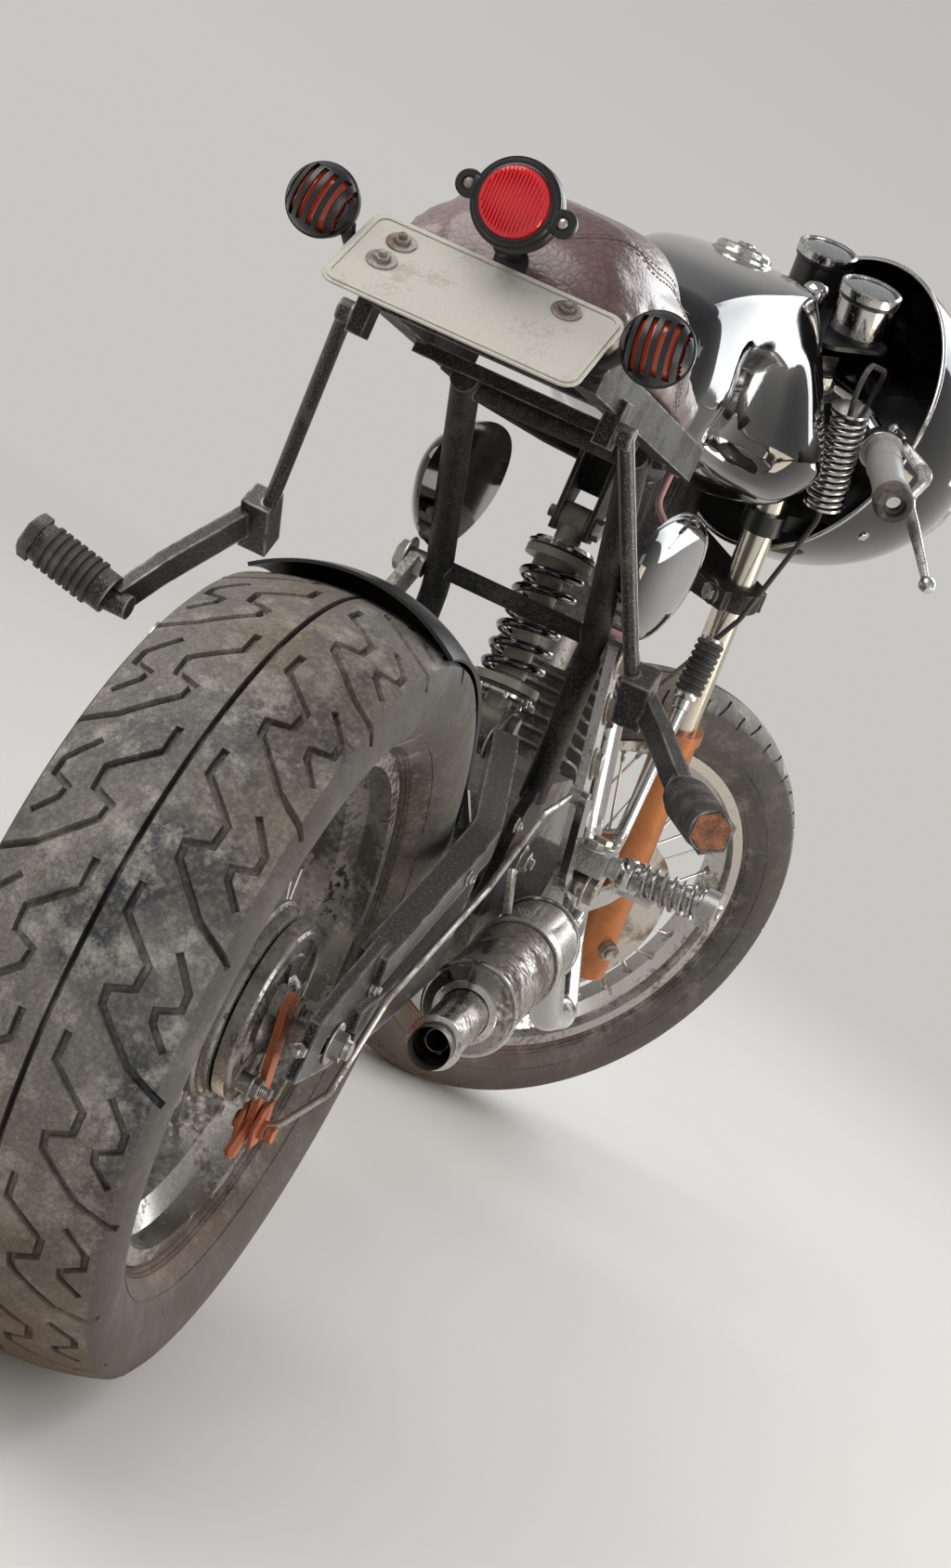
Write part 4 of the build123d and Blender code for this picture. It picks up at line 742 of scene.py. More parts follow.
def coil(bm, start, end, radius, wire, turns):
    """A spring, spun and lifted at once."""
    before = set(bm.verts)
    way = Vector(end) - Vector(start)
    steps = int(turns * 28)
    loop = bmesh.ops.create_circle(bm, cap_ends=False, segments=8, radius=wire)["verts"]
    bmesh.ops.rotate(bm, cent=(0, 0, 0), matrix=Matrix.Rotation(pi / 2, 3, "X"), verts=loop)
    bmesh.ops.translate(bm, vec=(radius, 0, 0), verts=loop)
    bmesh.ops.spin(
        bm, geom=loop + edges_of(loop), cent=(0, 0, 0), axis=(0, 0, 1), dvec=(0, 0, way.length / steps),
        angle=2 * pi * turns, steps=steps,
    )
    open_edges = [e for e in edges_of([v for v in bm.verts if v not in before]) if e.is_boundary]
    bmesh.ops.holes_fill(bm, edges=open_edges, sides=8)
    settle(bm, before, on_axis(start, way), 0)


# %% Wires and pieces
def line_mesh(points, resolution, **settings):
    """The mesh of a smooth line, which cuts inside the corners of its points."""
    line = set_all(bpy.data.curves.new("line", "CURVE"), dimensions="3D", resolution_u=resolution, **settings)
    spline = line.splines.new("NURBS")
    spline.points.add(len(points) - 1)
    for point, at in zip(spline.points, points):
        point.co = (*at, 1.0)
    set_all(spline, order_u=3, use_endpoint_u=True)
    holder = bpy.data.objects.new("line", line)
    mesh = bpy.data.meshes.new_from_object(holder)
    bpy.data.objects.remove(holder)
    bpy.data.curves.remove(line)
    return mesh


def wire_along(bm, points, radius, round_steps=2):
    """A round wire on a smooth line."""
    mesh = line_mesh(points, 6, bevel_depth=radius, bevel_resolution=round_steps, use_fill_caps=True)
    bm.from_mesh(mesh)
    bpy.data.meshes.remove(mesh)


def as_piece(bm, name, body, finish_names, board=None, crease=38):
    """Closes a bmesh as a piece: onto its drawing board's place, its finishes, its body."""
    bmesh.ops.transform(bm, matrix=board or upright, verts=bm.verts)
    mesh = as_mesh(bm, name)
    for finish in finish_names.split():
        mesh.materials.append(finishes[finish])
    mesh.shade_smooth()
    mesh.set_sharp_from_angle(angle=radians(crease))
    piece = in_scene(name, mesh)
    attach(piece, body)
    print(name, "faces", len(mesh.polygons))
    return piece


def applied(piece):
    """Bakes a piece's modifiers into its mesh."""
    shown = bpy.context.evaluated_depsgraph_get()
    mesh = bpy.data.meshes.new_from_object(piece.evaluated_get(shown))
    piece.modifiers.clear()
    piece.data = mesh
    return mesh


# %% [markdown]
# ## The tyres
#
# A tread is cut into a smooth carcass, and that is how it is made here. One pitch of the
# pattern is a flat slab, the grooves are prisms laid on it, and one Boolean cuts them out.
# The cut slab is then bent over the crown, repeated round the wheel and welded, and the
# walls with their fine mould lines are spun from where the slab ends. Eighteen pitches of
# twenty degrees were counted on the rear tyre, and each groove was measured on it.

# %% A carcass that a flat slab can be bent over
def arc_through(first, middle, last):
    """Centre and radius of the circle through three points of (radius, left)."""
    (ax, ay), (bx, by), (cx, cy) = first, middle, last
    d = 2 * (ax * (by - cy) + bx * (cy - ay) + cx * (ay - by))
    a, b, c = ax * ax + ay * ay, bx * bx + by * by, cx * cx + cy * cy
    centre = Vector((
        (a * (by - cy) + b * (cy - ay) + c * (ay - by)) / d,
        (a * (cx - bx) + b * (ax - cx) + c * (bx - ax)) / d,
    ))
    return centre, (Vector(first) - centre).length


class Carcass:
    """The outer profile: a crown arc to the shoulder, then one arc down to the rim."""

    def __init__(self, radius, crown, half, flange, rim_half):
        self.radius = radius
        self.crown = crown
        shoulder_y = half * 0.94
        self.crown_length = crown * asin(shoulder_y / crown)
        shoulder = (radius - crown + sqrt(crown**2 - shoulder_y**2), shoulder_y)
        foot = (flange + 2, rim_half - 0.3)
        self.centre, self.bend = arc_through(shoulder, ((radius + flange) / 2, half), foot)
        first = Vector(shoulder) - self.centre
        last = Vector(foot) - self.centre
        self.start = atan2(first.y, first.x)
        self.wall_length = (atan2(last.y, last.x) - self.start) * self.bend

    def at(self, across, lift=0.0):
        """(radius, left) at a distance across from the middle, lifted off the surface."""
        side = 1 if across >= 0 else -1
        reach = abs(across)
        if reach <= self.crown_length:
            angle = reach / self.crown
            far = self.crown + lift
            return self.radius - self.crown + far * cos(angle), side * far * sin(angle)
        angle = self.start + (reach - self.crown_length) / self.bend
        far = self.bend + lift
        return self.centre.x + far * cos(angle), side * (self.centre.y + far * sin(angle))


rear_carcass = Carcass(rear_radius, 217.0, 90.0, 213.0, 56.0)
front_carcass = Carcass(front_radius, 58.0, 46.0, 229.0, 27.0)
print("rear wall mm:", round(rear_carcass.wall_length, 1))

# %% Grooves as prisms
def groove(bm, path, width, depth, shift=0.0):
    """A groove's prism from a path of (along, across): wide above, narrower at its floor."""
    points = [Vector((along + shift, across)) for along, across in path]
    last = len(points) - 1
    left_side = []
    right_side = []
    for i, point in enumerate(points):
        before = (point - points[i - 1]).normalized() if i else None
        after = (points[i + 1] - point).normalized() if i < last else None
        way = ((before or after) + (after or before)).normalized()
        square = Vector((-way.y, way.x))
        along_side = before or after
        reach = 1 / max(0.35, square.dot(Vector((-along_side.y, along_side.x))))
        end = way * (width * 0.3) * (-1 if i == 0 else 1 if i == last else 0)
        left_side.append((point + end * 0.2, square * reach))
        right_side.append((point + end * 0.2, -square * reach))
    outline = left_side + right_side[::-1]
    rims = [
        [bm.verts.new((*(at + square * width / 2 * share), level)) for at, square in outline]
        for level, share in ((1.5, 1.15), (-depth, 0.62))
    ]
    count = len(outline)
    for k in range(count // 2 - 1):
        for rim, order in zip(rims, (1, -1)):
            bm.faces.new([rim[k], rim[k + 1], rim[count - 2 - k], rim[count - 1 - k]][::order])
    for k in range(count):
        after = (k + 1) % count
        bm.faces.new((rims[0][after], rims[0][k], rims[1][k], rims[1][after]))


# %% A tyre from one pitch
def carved_pitch(pitch, reach, cells, prisms, middle_groove):
    """A flat slab of one pitch with its grooves cut, as a bmesh open at its sides and below."""
    slab = bmesh.new()
    bmesh.ops.create_grid(slab, x_segments=cells[0], y_segments=cells[1], size=0.5)
    bmesh.ops.scale(slab, vec=(pitch, 2 * reach, 1), verts=slab.verts)
    bmesh.ops.translate(slab, vec=(pitch / 2, 0, 0), verts=slab.verts)
    under = bmesh.ops.extrude_face_region(slab, geom=slab.faces[:])["geom"]
    bmesh.ops.translate(slab, vec=(0, 0, -14), verts=verts_of(under))
    knife = bmesh.new()
    for path, width, depth in prisms:
        for side in (-1, 1):
            for turn in (-1, 0, 1, 2):
                laid = [(along, side * across) for along, across in path]
                groove(knife, laid, width, depth, turn * pitch)
    groove(knife, [(-8, 0), (pitch + 8, 0)], *middle_groove)
    for bm in (slab, knife):
        bmesh.ops.recalc_face_normals(bm, faces=bm.faces)
    blank = in_scene("blank", as_mesh(slab, "slab"))
    cutter = in_scene("cutter", as_mesh(knife, "knife"))
    cut = blank.modifiers.new("grooves", "BOOLEAN")
    set_all(cut, operation="DIFFERENCE", solver="EXACT", use_self=True, object=cutter)
    bm = bmesh.new()
    bm.from_mesh(applied(blank))
    bpy.data.objects.remove(blank)
    bpy.data.objects.remove(cutter)
    tiny = 0.01
    outer = (
        lambda v: v.co.z < -13, lambda v: v.co.x < tiny, lambda v: v.co.x > pitch - tiny,
        lambda v: abs(v.co.y) > reach - tiny,
    )
    gone = [f for f in bm.faces if any(all(outside(v) for v in f.verts) for outside in outer)]
    bmesh.ops.delete(bm, geom=gone, context="FACES")
    return bm


def tyre(carcass, centre, pitches, reach, cells, grooves, middle_groove, wall_lines):
    """Cuts one pitch, bends it, repeats it round the wheel, and spins the walls."""
    pitch = 2 * pi * carcass.radius / pitches
    degree = pitch / (360 / pitches)
    prisms = [([(angle * degree, across) for angle, across in path], wide, deep) for path, wide, deep in grooves]
    bm = carved_pitch(pitch, reach, cells, prisms, middle_groove)
    for vert in bm.verts:
        angle = vert.co.x / carcass.radius
        radius, left_at = carcass.at(vert.co.y, vert.co.z)
        vert.co = Vector((-radius * cos(angle), left_at, radius * sin(angle)))
    bmesh.ops.spin(
        bm, geom=bm.verts[:] + bm.edges[:] + bm.faces[:], cent=(0, 0, 0), axis=(0, 1, 0),
        angle=2 * pi * (pitches - 1) / pitches, steps=pitches - 1, use_duplicate=True,
    )
    bmesh.ops.remove_doubles(bm, verts=bm.verts, dist=0.02)

    wall_steps = 26
    wall = carcass.crown_length + carcass.wall_length - reach
    for side in (-1, 1):
        profile = [carcass.at(side * (reach + wall * k / wall_steps)) for k in range(wall_steps + 1)]
        for share, width, rise in wall_lines:
            at = reach + wall * share
            for offset, lift in ((-width, 0), (-width * 0.5, rise), (width * 0.5, rise), (width, 0)):
                profile.append(carcass.at(side * (at + offset), lift))
        profile.sort(key=lambda point: -point[0])
        foot, left_at = profile[-1]
        profile += [(foot - 12, left_at - side * 1.0), (foot - 14, left_at - side * 12)]
        spin_line(bm, [(-radius, left, 0) for radius, left in profile], (0, 1, 0), pitches * cells[0])
    bmesh.ops.remove_doubles(bm, verts=bm.verts, dist=0.05)
    bmesh.ops.recalc_face_normals(bm, faces=bm.faces)
    bmesh.ops.translate(bm, vec=centre, verts=bm.verts)
    return bm


# %% Rear tyre
# Grooves are (degrees, mm across), then their width and depth; wall lines are where between
# the shoulder and the rim, half their width, and how proud they stand.
long_groove = [
    (20.0, 17.5), (16.0, 17.0), (11.2, 46.0), (8.0, 45.0), (6.8, 28.3), (4.6, 30.0), (-1.2, 62.0), (-4.6, 97.0),
]
short_groove = [(14.4, 60.0), (10.4, 77.5), (8.0, 78.0), (6.8, 63.0), (5.2, 64.5), (2.2, 79.0)]
rear_tread = tyre(
    rear_carcass, rear_axle, 18, 103.0, (20, 36), [(long_groove, 6.0, 4.6), (short_groove, 5.6, 4.2)], (4.6, 4.2),
    [(0.62, 1.2, 0.7), (0.86, 0.7, 0.6), (0.90, 0.7, 0.6), (0.94, 0.7, 0.6)],
)
rear_tread = as_piece(rear_tread, "rear_tread", "rear_wheel", "rear_rubber", crease=32)
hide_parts("rear_tyre")

# %% Front tyre
side_cut = [(6.6, 17.0), (4.6, 30.0), (1.6, 46.0)]
edge_cut = [(11.0, 30.0), (9.2, 42.0), (8.4, 52.0)]
front_tread = tyre(
    front_carcass, front_axle, 30, 56.0, (10, 30), [(side_cut, 3.4, 3.6), (edge_cut, 3.0, 3.2)], (3.6, 3.6),
    [(0.45, 1.0, 0.6), (0.80, 0.7, 0.5), (0.88, 0.7, 0.5)],
)
front_tread = as_piece(front_tread, "front_tread", "front_wheel", "front_rubber", steered, 32)
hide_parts("front_tyre")

# %% [markdown]
# ## Wheel hardware
#
# Every spoke ends in a nipple that stands out of the rim's well. They follow the same
# lacing rule as the spokes: nine pairs from each flange, every pair a little apart. A
# nipple is a turned shape of a few faces because there are seventy-two of them.

# %% Nipples and a valve
def nipples(centre, flange, flanges, pairs=9, spoke_shift=2.2):
    """A nipple on each spoke's outer end; flanges are (left, start radius, lean)."""
    bm = bmesh.new()
    well = flange - 26.0 - 3.0
    for side, (left_at, flange_radius, lean) in enumerate(flanges):
        for pair in range(pairs):
            for way in (-1, 1):
                start = 360 / pairs * (pair + side * 0.25 + way * 0.25)
                shift = way * spoke_shift
                hub_end = wheel_spot(flange_radius, start + way * lean, left_at + shift)
                rim_end = wheel_spot(well, start, left_at * 0.1 + shift)
                along = (hub_end - rim_end).normalized()
                nipple = [
                    (0, -1), (5.2, -1), (5.6, 0.5), (3.4, 3.0), (2.7, 3.6), (2.7, 14), (1.9, 15.5), (0, 15.5),
                ]
                turned(bm, nipple, centre + rim_end, along, 8)
                elbow = [(0, -3), (2.6, -3), (3.2, -1.5), (2.6, 1), (0, 1)]
                turned(bm, elbow, centre + hub_end, along, 8)
    return bm


rear_nipples = nipples(rear_axle, 213.0, [(-26.5, 80.9, 38), (45.0, 58, 48)])
as_piece(rear_nipples, "rear_nipples", "rear_wheel", "zinc_steel")
front_nipples = nipples(front_axle, 229.0, [(-25.0, 36, 60), (25.0, 36, 60)])
as_piece(front_nipples, "front_nipples", "front_wheel", "zinc_steel", steered)

valve = bmesh.new()
rod(valve, rear_axle + Vector((0, 6, 188)), rear_axle + Vector((0, 8, 150)), 3.2, 12)
rod(valve, rear_axle + Vector((0, 8, 151)), rear_axle + Vector((0, 8.5, 140)), 4.2, 12)
as_piece(valve, "rear_valve", "rear_wheel", "grip_rubber")

# %% [markdown]
# ## The drum brake
#
# The wheel shows its drum from behind: stepped cooling rings on the hub, a domed alloy
# plate that doesn't turn, the cam spindle with its pinch bolt, and an arm painted orange
# that ends in a fork, a barrel nut and the rod's bare thread.

# %% Drum rings and brake plate
to_right = (0, -1, 0)
drum = bmesh.new()
rings = [
    (66, 29), (80.5, 29), (82, 30.5), (82, 33), (79, 35), (79, 38), (81.5, 40), (81.5, 43), (78.5, 45), (78.5, 50),
    (77, 53.6), (74.2, 53.6),
]
turned(drum, rings, rear_axle, to_right, 96)
for degrees in range(0, 360, 30):
    rivet = [(0, 0), (2.6, 0), (2.6, 1.6), (1.4, 1.9), (0, 1.9)]
    turned(drum, rivet, rear_axle + wheel_spot(76.5, degrees, -52.2), to_right, 12)
as_piece(drum, "drum_rings", "rear_wheel", "cast_hub", crease=28)

brake_plate = bmesh.new()
rings = [
    (15, 78), (26, 77.5), (30, 74), (33, 69.4), (48, 68.2), (50, 66.9), (60, 66.4), (62, 68.4), (66, 68.4),
    (68, 66.2), (72.2, 66.1), (72.2, 64.5), (15, 64.5), (15, 78),
]
turned(brake_plate, rings, rear_axle, to_right, 96)
for degrees in (20, 62, 118, 162, 240, 300):
    ends = rear_axle + wheel_spot(24, degrees, -69), rear_axle + wheel_spot(60, degrees, -66.8)
    bar(brake_plate, *ends, 5, 5, (0, 1, 0), 1.5)
bolt(brake_plate, (-22, -80, 258), to_right, 6.5, 9)
bolt(brake_plate, (-36, -88.6, 329), to_right, 5.0, 3)
turned(brake_plate, [(10, 0), (12.5, 1), (12.5, 8), (10, 9), (10, 0)], (-36, -71.5, 329), to_right, 24)
as_piece(brake_plate, "brake_plate_face", "frame", "cast_hub", crease=28)

# %% The orange arm's fork, barrel nut and thread
arm_end = bmesh.new()
arm_y = -83.3
for left_at in (arm_y - 6.5, arm_y + 6.5):
    cheek = [(4, 240), (22, 246), (32, 226), (24, 208), (8, 206), (-2, 222)]
    face = arm_end.faces.new([arm_end.verts.new((x, left_at - 2, z)) for x, z in cheek])
    grown = bmesh.ops.extrude_face_region(arm_end, geom=[face])["geom"]
    bmesh.ops.translate(arm_end, vec=(0, 4, 0), verts=verts_of(grown))
bmesh.ops.recalc_face_normals(arm_end, faces=arm_end.faces)
broken_edges(arm_end, [e for e in arm_end.edges if e.calc_face_angle(0) > 0.5], 1.0, 2)
rod(arm_end, (14, arm_y - 13, 222), (14, arm_y + 13, 222), 7.2, 20)
hexagon(arm_end, (14, arm_y - 15.5, 222), to_right, 7.5, 5)
rod(arm_end, (10, arm_y, 229), (4, arm_y + 4, 196), 5.2, 6)
thread = [(0, 0)] + [(3.0 + 0.5 * (k % 2), 1.2 * k) for k in range(16)] + [(0, 19)]
turned(arm_end, thread, (7, arm_y + 2, 212), (-0.25, 0.1, -0.96), 14)
bolt(arm_end, (-37, arm_y - 3.4, 329), to_right, 4.6)
as_piece(arm_end, "brake_arm_fork", "frame", "orange_paint", crease=30)

# %% Axle ends, chain adjusters and swingarm bolts
pivot_x = 575.0
axle_ends = bmesh.new()
arm_bolts = bmesh.new()
for side, arm in ((-1, -112.0), (1, 126.0)):
    outwards = (0, side, 0)
    face = arm + side * 5.3
    washer(axle_ends, (0, face - side * 0.1, rear_radius), outwards, 17.5, 7.4, 2.2, 32)
    thread = [(0, 0)] + [(7.5 + 0.45 * (k % 2), 0.7 * k) for k in range(8)] + [(5.6, 5.6), (0, 5.6)]
    turned(axle_ends, thread, (0, face + side * 10.2, rear_radius), outwards, 24)
    puller = face - side * 10.8
    bar(axle_ends, (-12, puller, rear_radius), (-60, puller, rear_radius - 2), 5, 18, (0, 1, 0), 1.2)
    screw = puller + side * 4
    rod(axle_ends, (-46, screw, rear_radius), (-78, screw, rear_radius - 1), 3.0, 14)
    hexagon(axle_ends, (-64, screw, rear_radius - 0.5), (-1, 0, 0), 6.2, 5)
    for x, z in ((196, 436), (300, 478)):
        bolt(arm_bolts, (x, arm + side * 12.2, z), outwards, 3.6, 2)
    bolt(arm_bolts, (52, arm + side * 5.2, 350), outwards, 4.4, 3)
    bolt(arm_bolts, (pivot_x, side * 95.0, 415), outwards, 8.0, 5)
as_piece(axle_ends, "axle_hardware", "frame", "zinc_steel")
as_piece(arm_bolts, "swingarm_bolts", "frame", "zinc_steel")

# %% Weld beads round the swingarm's tubes
welds = bmesh.new()
bead = 2.4
for side in (-1, 1):
    for at, radius in (((pivot_x, side * 40, 415), 20.6), ((512, side * 34, 508), 13.6)):
        ripples = max(14, int(radius * 2 * pi / bead))
        for k in range(ripples):
            made = bmesh.ops.create_icosphere(welds, subdivisions=1, radius=bead)["verts"]
            bmesh.ops.translate(welds, vec=face_spot(at, (0, 1, 0), radius, 360 * k / ripples), verts=made)
as_piece(welds, "swingarm_welds", "frame", "rubbed_black", crease=60)

# %% [markdown]
# ## Shock absorber and silencer
#
# The spring stands between stepped collars on a pale damper, with a bright adjusting ring
# below. The silencer is a plain drum with bright rolled seams, a cone behind it and a stub
# whose dark mouth shows a second, smaller pipe.

# %% Collars and adjusting rings
shock_bottom = Vector((562.0, -16.0, 525.0))
shock_top = Vector((597.0, -5.0, 723.0))
shock_way = (shock_top - shock_bottom).normalized()
shock_length = (shock_top - shock_bottom).length


def on_shock(bm, outline, along, steps):
    """Turns an outline about the shock absorber, from a distance above its lower eye."""
    turned(bm, outline, shock_bottom + shock_way * along, shock_way, steps)


collars = bmesh.new()
for along in (20.0, shock_length - 35.5):
    on_shock(collars, [(13.2, 0), (30, 0), (33.6, 2), (33.6, 5), (31, 6), (29, 9.4), (13.2, 9.4)], along, 48)
for degrees in range(0, 360, 45):
    notch = [face_spot(shock_bottom + shock_way * 22, shock_way, radius, degrees) for radius in (33, 35.4)]
    bar(collars, *notch, 7, 4.5, shock_way, 0.8)
as_piece(collars, "shock_collars", "frame", "chrome")

damper_rings = bmesh.new()
on_shock(damper_rings, [(13.2, 0), (15.5, 1), (15.5, 10), (14, 12), (14, 30), (13.2, 31)], 42, 40)
upper_ring = [(13.2, 0), (21.5, 1), (22.5, 4), (22.5, 24), (20.5, 27), (13.2, 29)]
on_shock(damper_rings, upper_ring, shock_length - 60, 40)
for point in (shock_bottom, shock_top):
    eye = [(7, -12), (12, -14.2), (15.3, -12), (15.3, 12), (12, 14.2), (7, 12), (7, -12)]
    turned(damper_rings, eye, point, (0, 1, 0), 32)
as_piece(damper_rings, "damper_rings", "frame", "damper_enamel")

# %% Silencer seams, cone, stub and strap
silencer_front = Vector((664, -133.4, 352))
silencer_rear = Vector((179, -158, 306))
silencer_way = (silencer_rear - silencer_front).normalized()
silencer_length = (silencer_rear - silencer_front).length
body_end = silencer_length - 126


def on_silencer(bm, outline, along, steps):
    """Turns an outline about the silencer, from a distance behind its front."""
    turned(bm, outline, silencer_front + silencer_way * along, silencer_way, steps)


seams = bmesh.new()
for along in (51, body_end - 7):
    rolled = [(40.4, 0), (42.2, 0.8), (42.8, 2.6), (42.2, 4.4), (40.4, 5.2), (40.4, 0)]
    on_silencer(seams, rolled, along, 72)
on_silencer(seams, [(24.5, 0), (27.5, 1.2), (28.4, 3.2), (27.5, 5.2), (22.4, 6.6)], body_end + 11, 64)
lip = [(21.2, 0), (23.0, 0.6), (23.4, 2.0), (23.0, 3.4), (18.0, 4.0), (17.6, 1.2), (21.2, 0)]
on_silencer(seams, lip, silencer_length - 3.4, 64)
as_piece(seams, "silencer_seams", "frame", "chrome", crease=25)

stub = bmesh.new()
turned(stub, [(17.9, -20), (17.9, 70), (0, 70)], silencer_rear, -silencer_way, 48)
turned(stub, [(9.0, 10), (10.2, 9.6), (10.2, 60), (9.0, 60), (9.0, 10)], silencer_rear, -silencer_way, 40)
for hole in range(5):
    spot = face_spot(silencer_rear - silencer_way * 24, silencer_way, 14, 72 * hole)
    turned(stub, [(0, 0), (2.2, 0.4), (2.2, 1.0), (0, 1.2)], spot, silencer_way, 10)
as_piece(stub, "silencer_core", "frame", "oiled_steel", crease=40)

strap = bmesh.new()
strap_at = silencer_front + silencer_way * 150
on_silencer(strap, [(40.6, 0), (42.8, 0), (42.8, 22), (40.6, 22), (40.6, 0)], 150, 72)
bar(strap, strap_at + Vector((0, 26, 34)), strap_at + Vector((4, 40, 74)), 5, 24)
bolt(strap, strap_at + Vector((-6, 12, 40)), (0.1, -0.6, 0.8), 4.2, 3)
as_piece(strap, "silencer_strap", "frame", "satin_alloy")

clamp = bmesh.new()
on_silencer(clamp, [(24.4, 0), (27, 0.6), (27, 17), (24.4, 17.6), (24.4, 0)], -2, 48)
bolt(clamp, silencer_front + silencer_way * 7 + Vector((0, -8, -30)), to_right, 3.6, 4)
as_piece(clamp, "header_clamp", "frame", "zinc_steel")

# %% [markdown]
# ## Plate, tail lamp and signals
#
# The plate is blank enamel on an embossed tin, held by three bolts on wide washers. Above
# it sits a round red lamp whose lens is moulded in fine bars, in a black bowl with two
# screw ears. Each signal is a black ball with louvres cut across its rear half, over an
# orange lens. The louvres come from slicing a dome with planes and lifting out each band.

# %% Plate bolts
plate_centre = Vector((-60, 0, 848))
plate_tilt = radians(51.3)
plate_up = Vector((sin(plate_tilt), 0, cos(plate_tilt)))
plate_out = Vector((-cos(plate_tilt), 0, sin(plate_tilt)))
plate_bolts = bmesh.new()
for to_the_right, higher in ((-70, 24), (-72, -4), (60, 30)):
    at = plate_centre + Vector((0, -to_the_right, 0)) + plate_up * higher + plate_out * 1.6
    washer(plate_bolts, at, plate_out, 11.5, 4, 1.5, 28)
    hexagon(plate_bolts, at + plate_out * 1.4, plate_out, 6.6, 3.6)
    rod(plate_bolts, at + plate_out * 4.6, at + plate_out * 8.4, 3.2, 14)
as_piece(plate_bolts, "plate_bolts", "frame", "zinc_steel")

# %% Ribbed tail lens and its bowl
tail_at = Vector((-62, 0, 921))
astern = Vector((-1, 0, 0))
tail_lens = bmesh.new()
lens_radius = 25.7
profile = [(lens_radius, -5.0), (lens_radius, 6.0), (lens_radius - 1.2, 8.0)]
for k in range(1, 9):
    profile.append((lens_radius * (1 - k / 9) - 0.6, 8.0 + 4.0 * sin(pi / 2 * k / 9)))
turned(tail_lens, profile + [(0, 12.2)], tail_at, astern, 64)
for k in range(-8, 9):
    left_at = k * 2.75
    tall = sqrt((lens_radius - 2.2) ** 2 - left_at**2)
    crown = 8.0 + 3.6 * (1 - (abs(left_at) / lens_radius) ** 2)
    ends = [tail_at + Vector((-crown, left_at, end)) for end in (-tall, tall)]
    bar(tail_lens, *ends, 1.5, 1.9, (0, 1, 0), 0.45)
as_piece(tail_lens, "tail_lens", "frame", "red_lens", crease=40)

bowl = bmesh.new()
screws = bmesh.new()
profile = [(26.2, 4), (27.6, 3.2), (29.8, 3.6), (31.2, 1.0), (33.4, -3), (33.6, -15), (30, -20), (0, -20)]
turned(bowl, profile, tail_at, astern, 64)
for side in (-1, 1):
    at = tail_at + Vector((6, side * 37, 0))
    ear = [(0, 0), (9.6, 0), (10.4, 1), (10.4, 4.5), (9.4, 5.6), (5.2, 5.8), (4.8, 4.2), (0, 4.2)]
    turned(bowl, ear, at, astern, 32)
    bar(bowl, at + Vector((-2, -side * 2, 0)), at + Vector((-2, -side * 12, 0)), 9, 15, (1, 0, 0), 1.5)
    head = [(0, 2.6), (2.6, 2.2), (4.2, 0.8), (4.4, 0), (0, 0)]
    turned(screws, head, tail_at + Vector((1.6, side * 37, 0)), astern, 24)
as_piece(bowl, "tail_bowl", "frame", "black_plastic", crease=30)
as_piece(screws, "tail_screws", "frame", "zinc_steel")

# %% Louvred signal balls
ball_radius = 27.0
slot_pitch = 8.6
slat = 2.1


def cut_at(bm, axis, distance):
    """Cuts all of a bmesh by a plane across y (1) or z (2)."""
    normal = [float(k == axis) for k in range(3)]
    point = [distance * part for part in normal]
    geometry = bm.verts[:] + bm.edges[:] + bm.faces[:]
    bmesh.ops.bisect_plane(bm, geom=geometry, dist=0.001, plane_co=point, plane_no=normal)


def louvred_cage(side):
    """The rear half of a signal's ball with its slots open, as a mesh."""
    cage = bmesh.new()
    dome = [(ball_radius * cos(radians(a)), ball_radius * 0.92 * sin(radians(a))) for a in range(0, 91, 6)]
    turned(cage, dome, (0, 0, 0), astern, 56)
    for k in range(-3, 3):
        cut_at(cage, 2, k * slot_pitch + slat)
        cut_at(cage, 2, (k + 1) * slot_pitch - slat)
    cut_at(cage, 1, -20.5)
    cut_at(cage, 1, 20.5)
    opened = []
    for face in cage.faces:
        middle = face.calc_center_median()
        in_slot = slat < (middle.z % slot_pitch) < slot_pitch - slat
        if in_slot and abs(middle.y) < 20.4 and abs(middle.z) < 21.4 and middle.x < -6.0:
            opened.append(face)
    bmesh.ops.delete(cage, geom=opened, context="FACES")
    bmesh.ops.solidify(cage, geom=cage.faces[:], thickness=2.2)
    turn = Matrix.Rotation(radians(90 + side * 8), 3, "X")
    bmesh.ops.rotate(cage, cent=(0, 0, 0), matrix=turn, verts=cage.verts)
    return cage


signals = bmesh.new()
lenses = bmesh.new()
for side in (-1, 1):
    at = Vector((-49, side * 134.0, 869))
    shell = [
        (0, 28.5), (12, 26.4), (20.5, 20), (25.5, 10), (27.0, 0), (27.6, -1.2), (27.6, -4), (25.6, -4.4),
        (24.8, -3), (24.8, 0),
    ]
    turned(signals, shell, at, (1, 0, 0), 48)
    cage = louvred_cage(side)
    bmesh.ops.translate(cage, vec=at, verts=cage.verts)
    cage = as_mesh(cage, "cage")
    signals.from_mesh(cage)
    bpy.data.meshes.remove(cage)
    foot = Vector((-31, side * 96, 842))
    rod(signals, foot, foot + Vector((-11, side * 1, 1)), 9, 24)
    stalk = [foot + Vector((-7, side * 2, 1)), foot + Vector((-9, side * 16, 12)), at + Vector((6, -side * 22, -6))]
    wire_along(signals, stalk, 5.6, 4)
    turned(lenses, [(23.6, 0), (22.4, 6), (19.5, 11), (14, 15.2), (7, 17.6), (0, 18.2)], at, astern, 40)
signal_balls = as_piece(signals, "signal_balls", "frame", "black_plastic", crease=35)
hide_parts("rear_signals")
signal_lenses = as_piece(lenses, "signal_lenses", "frame", "amber_lens")
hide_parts("rear_lenses")

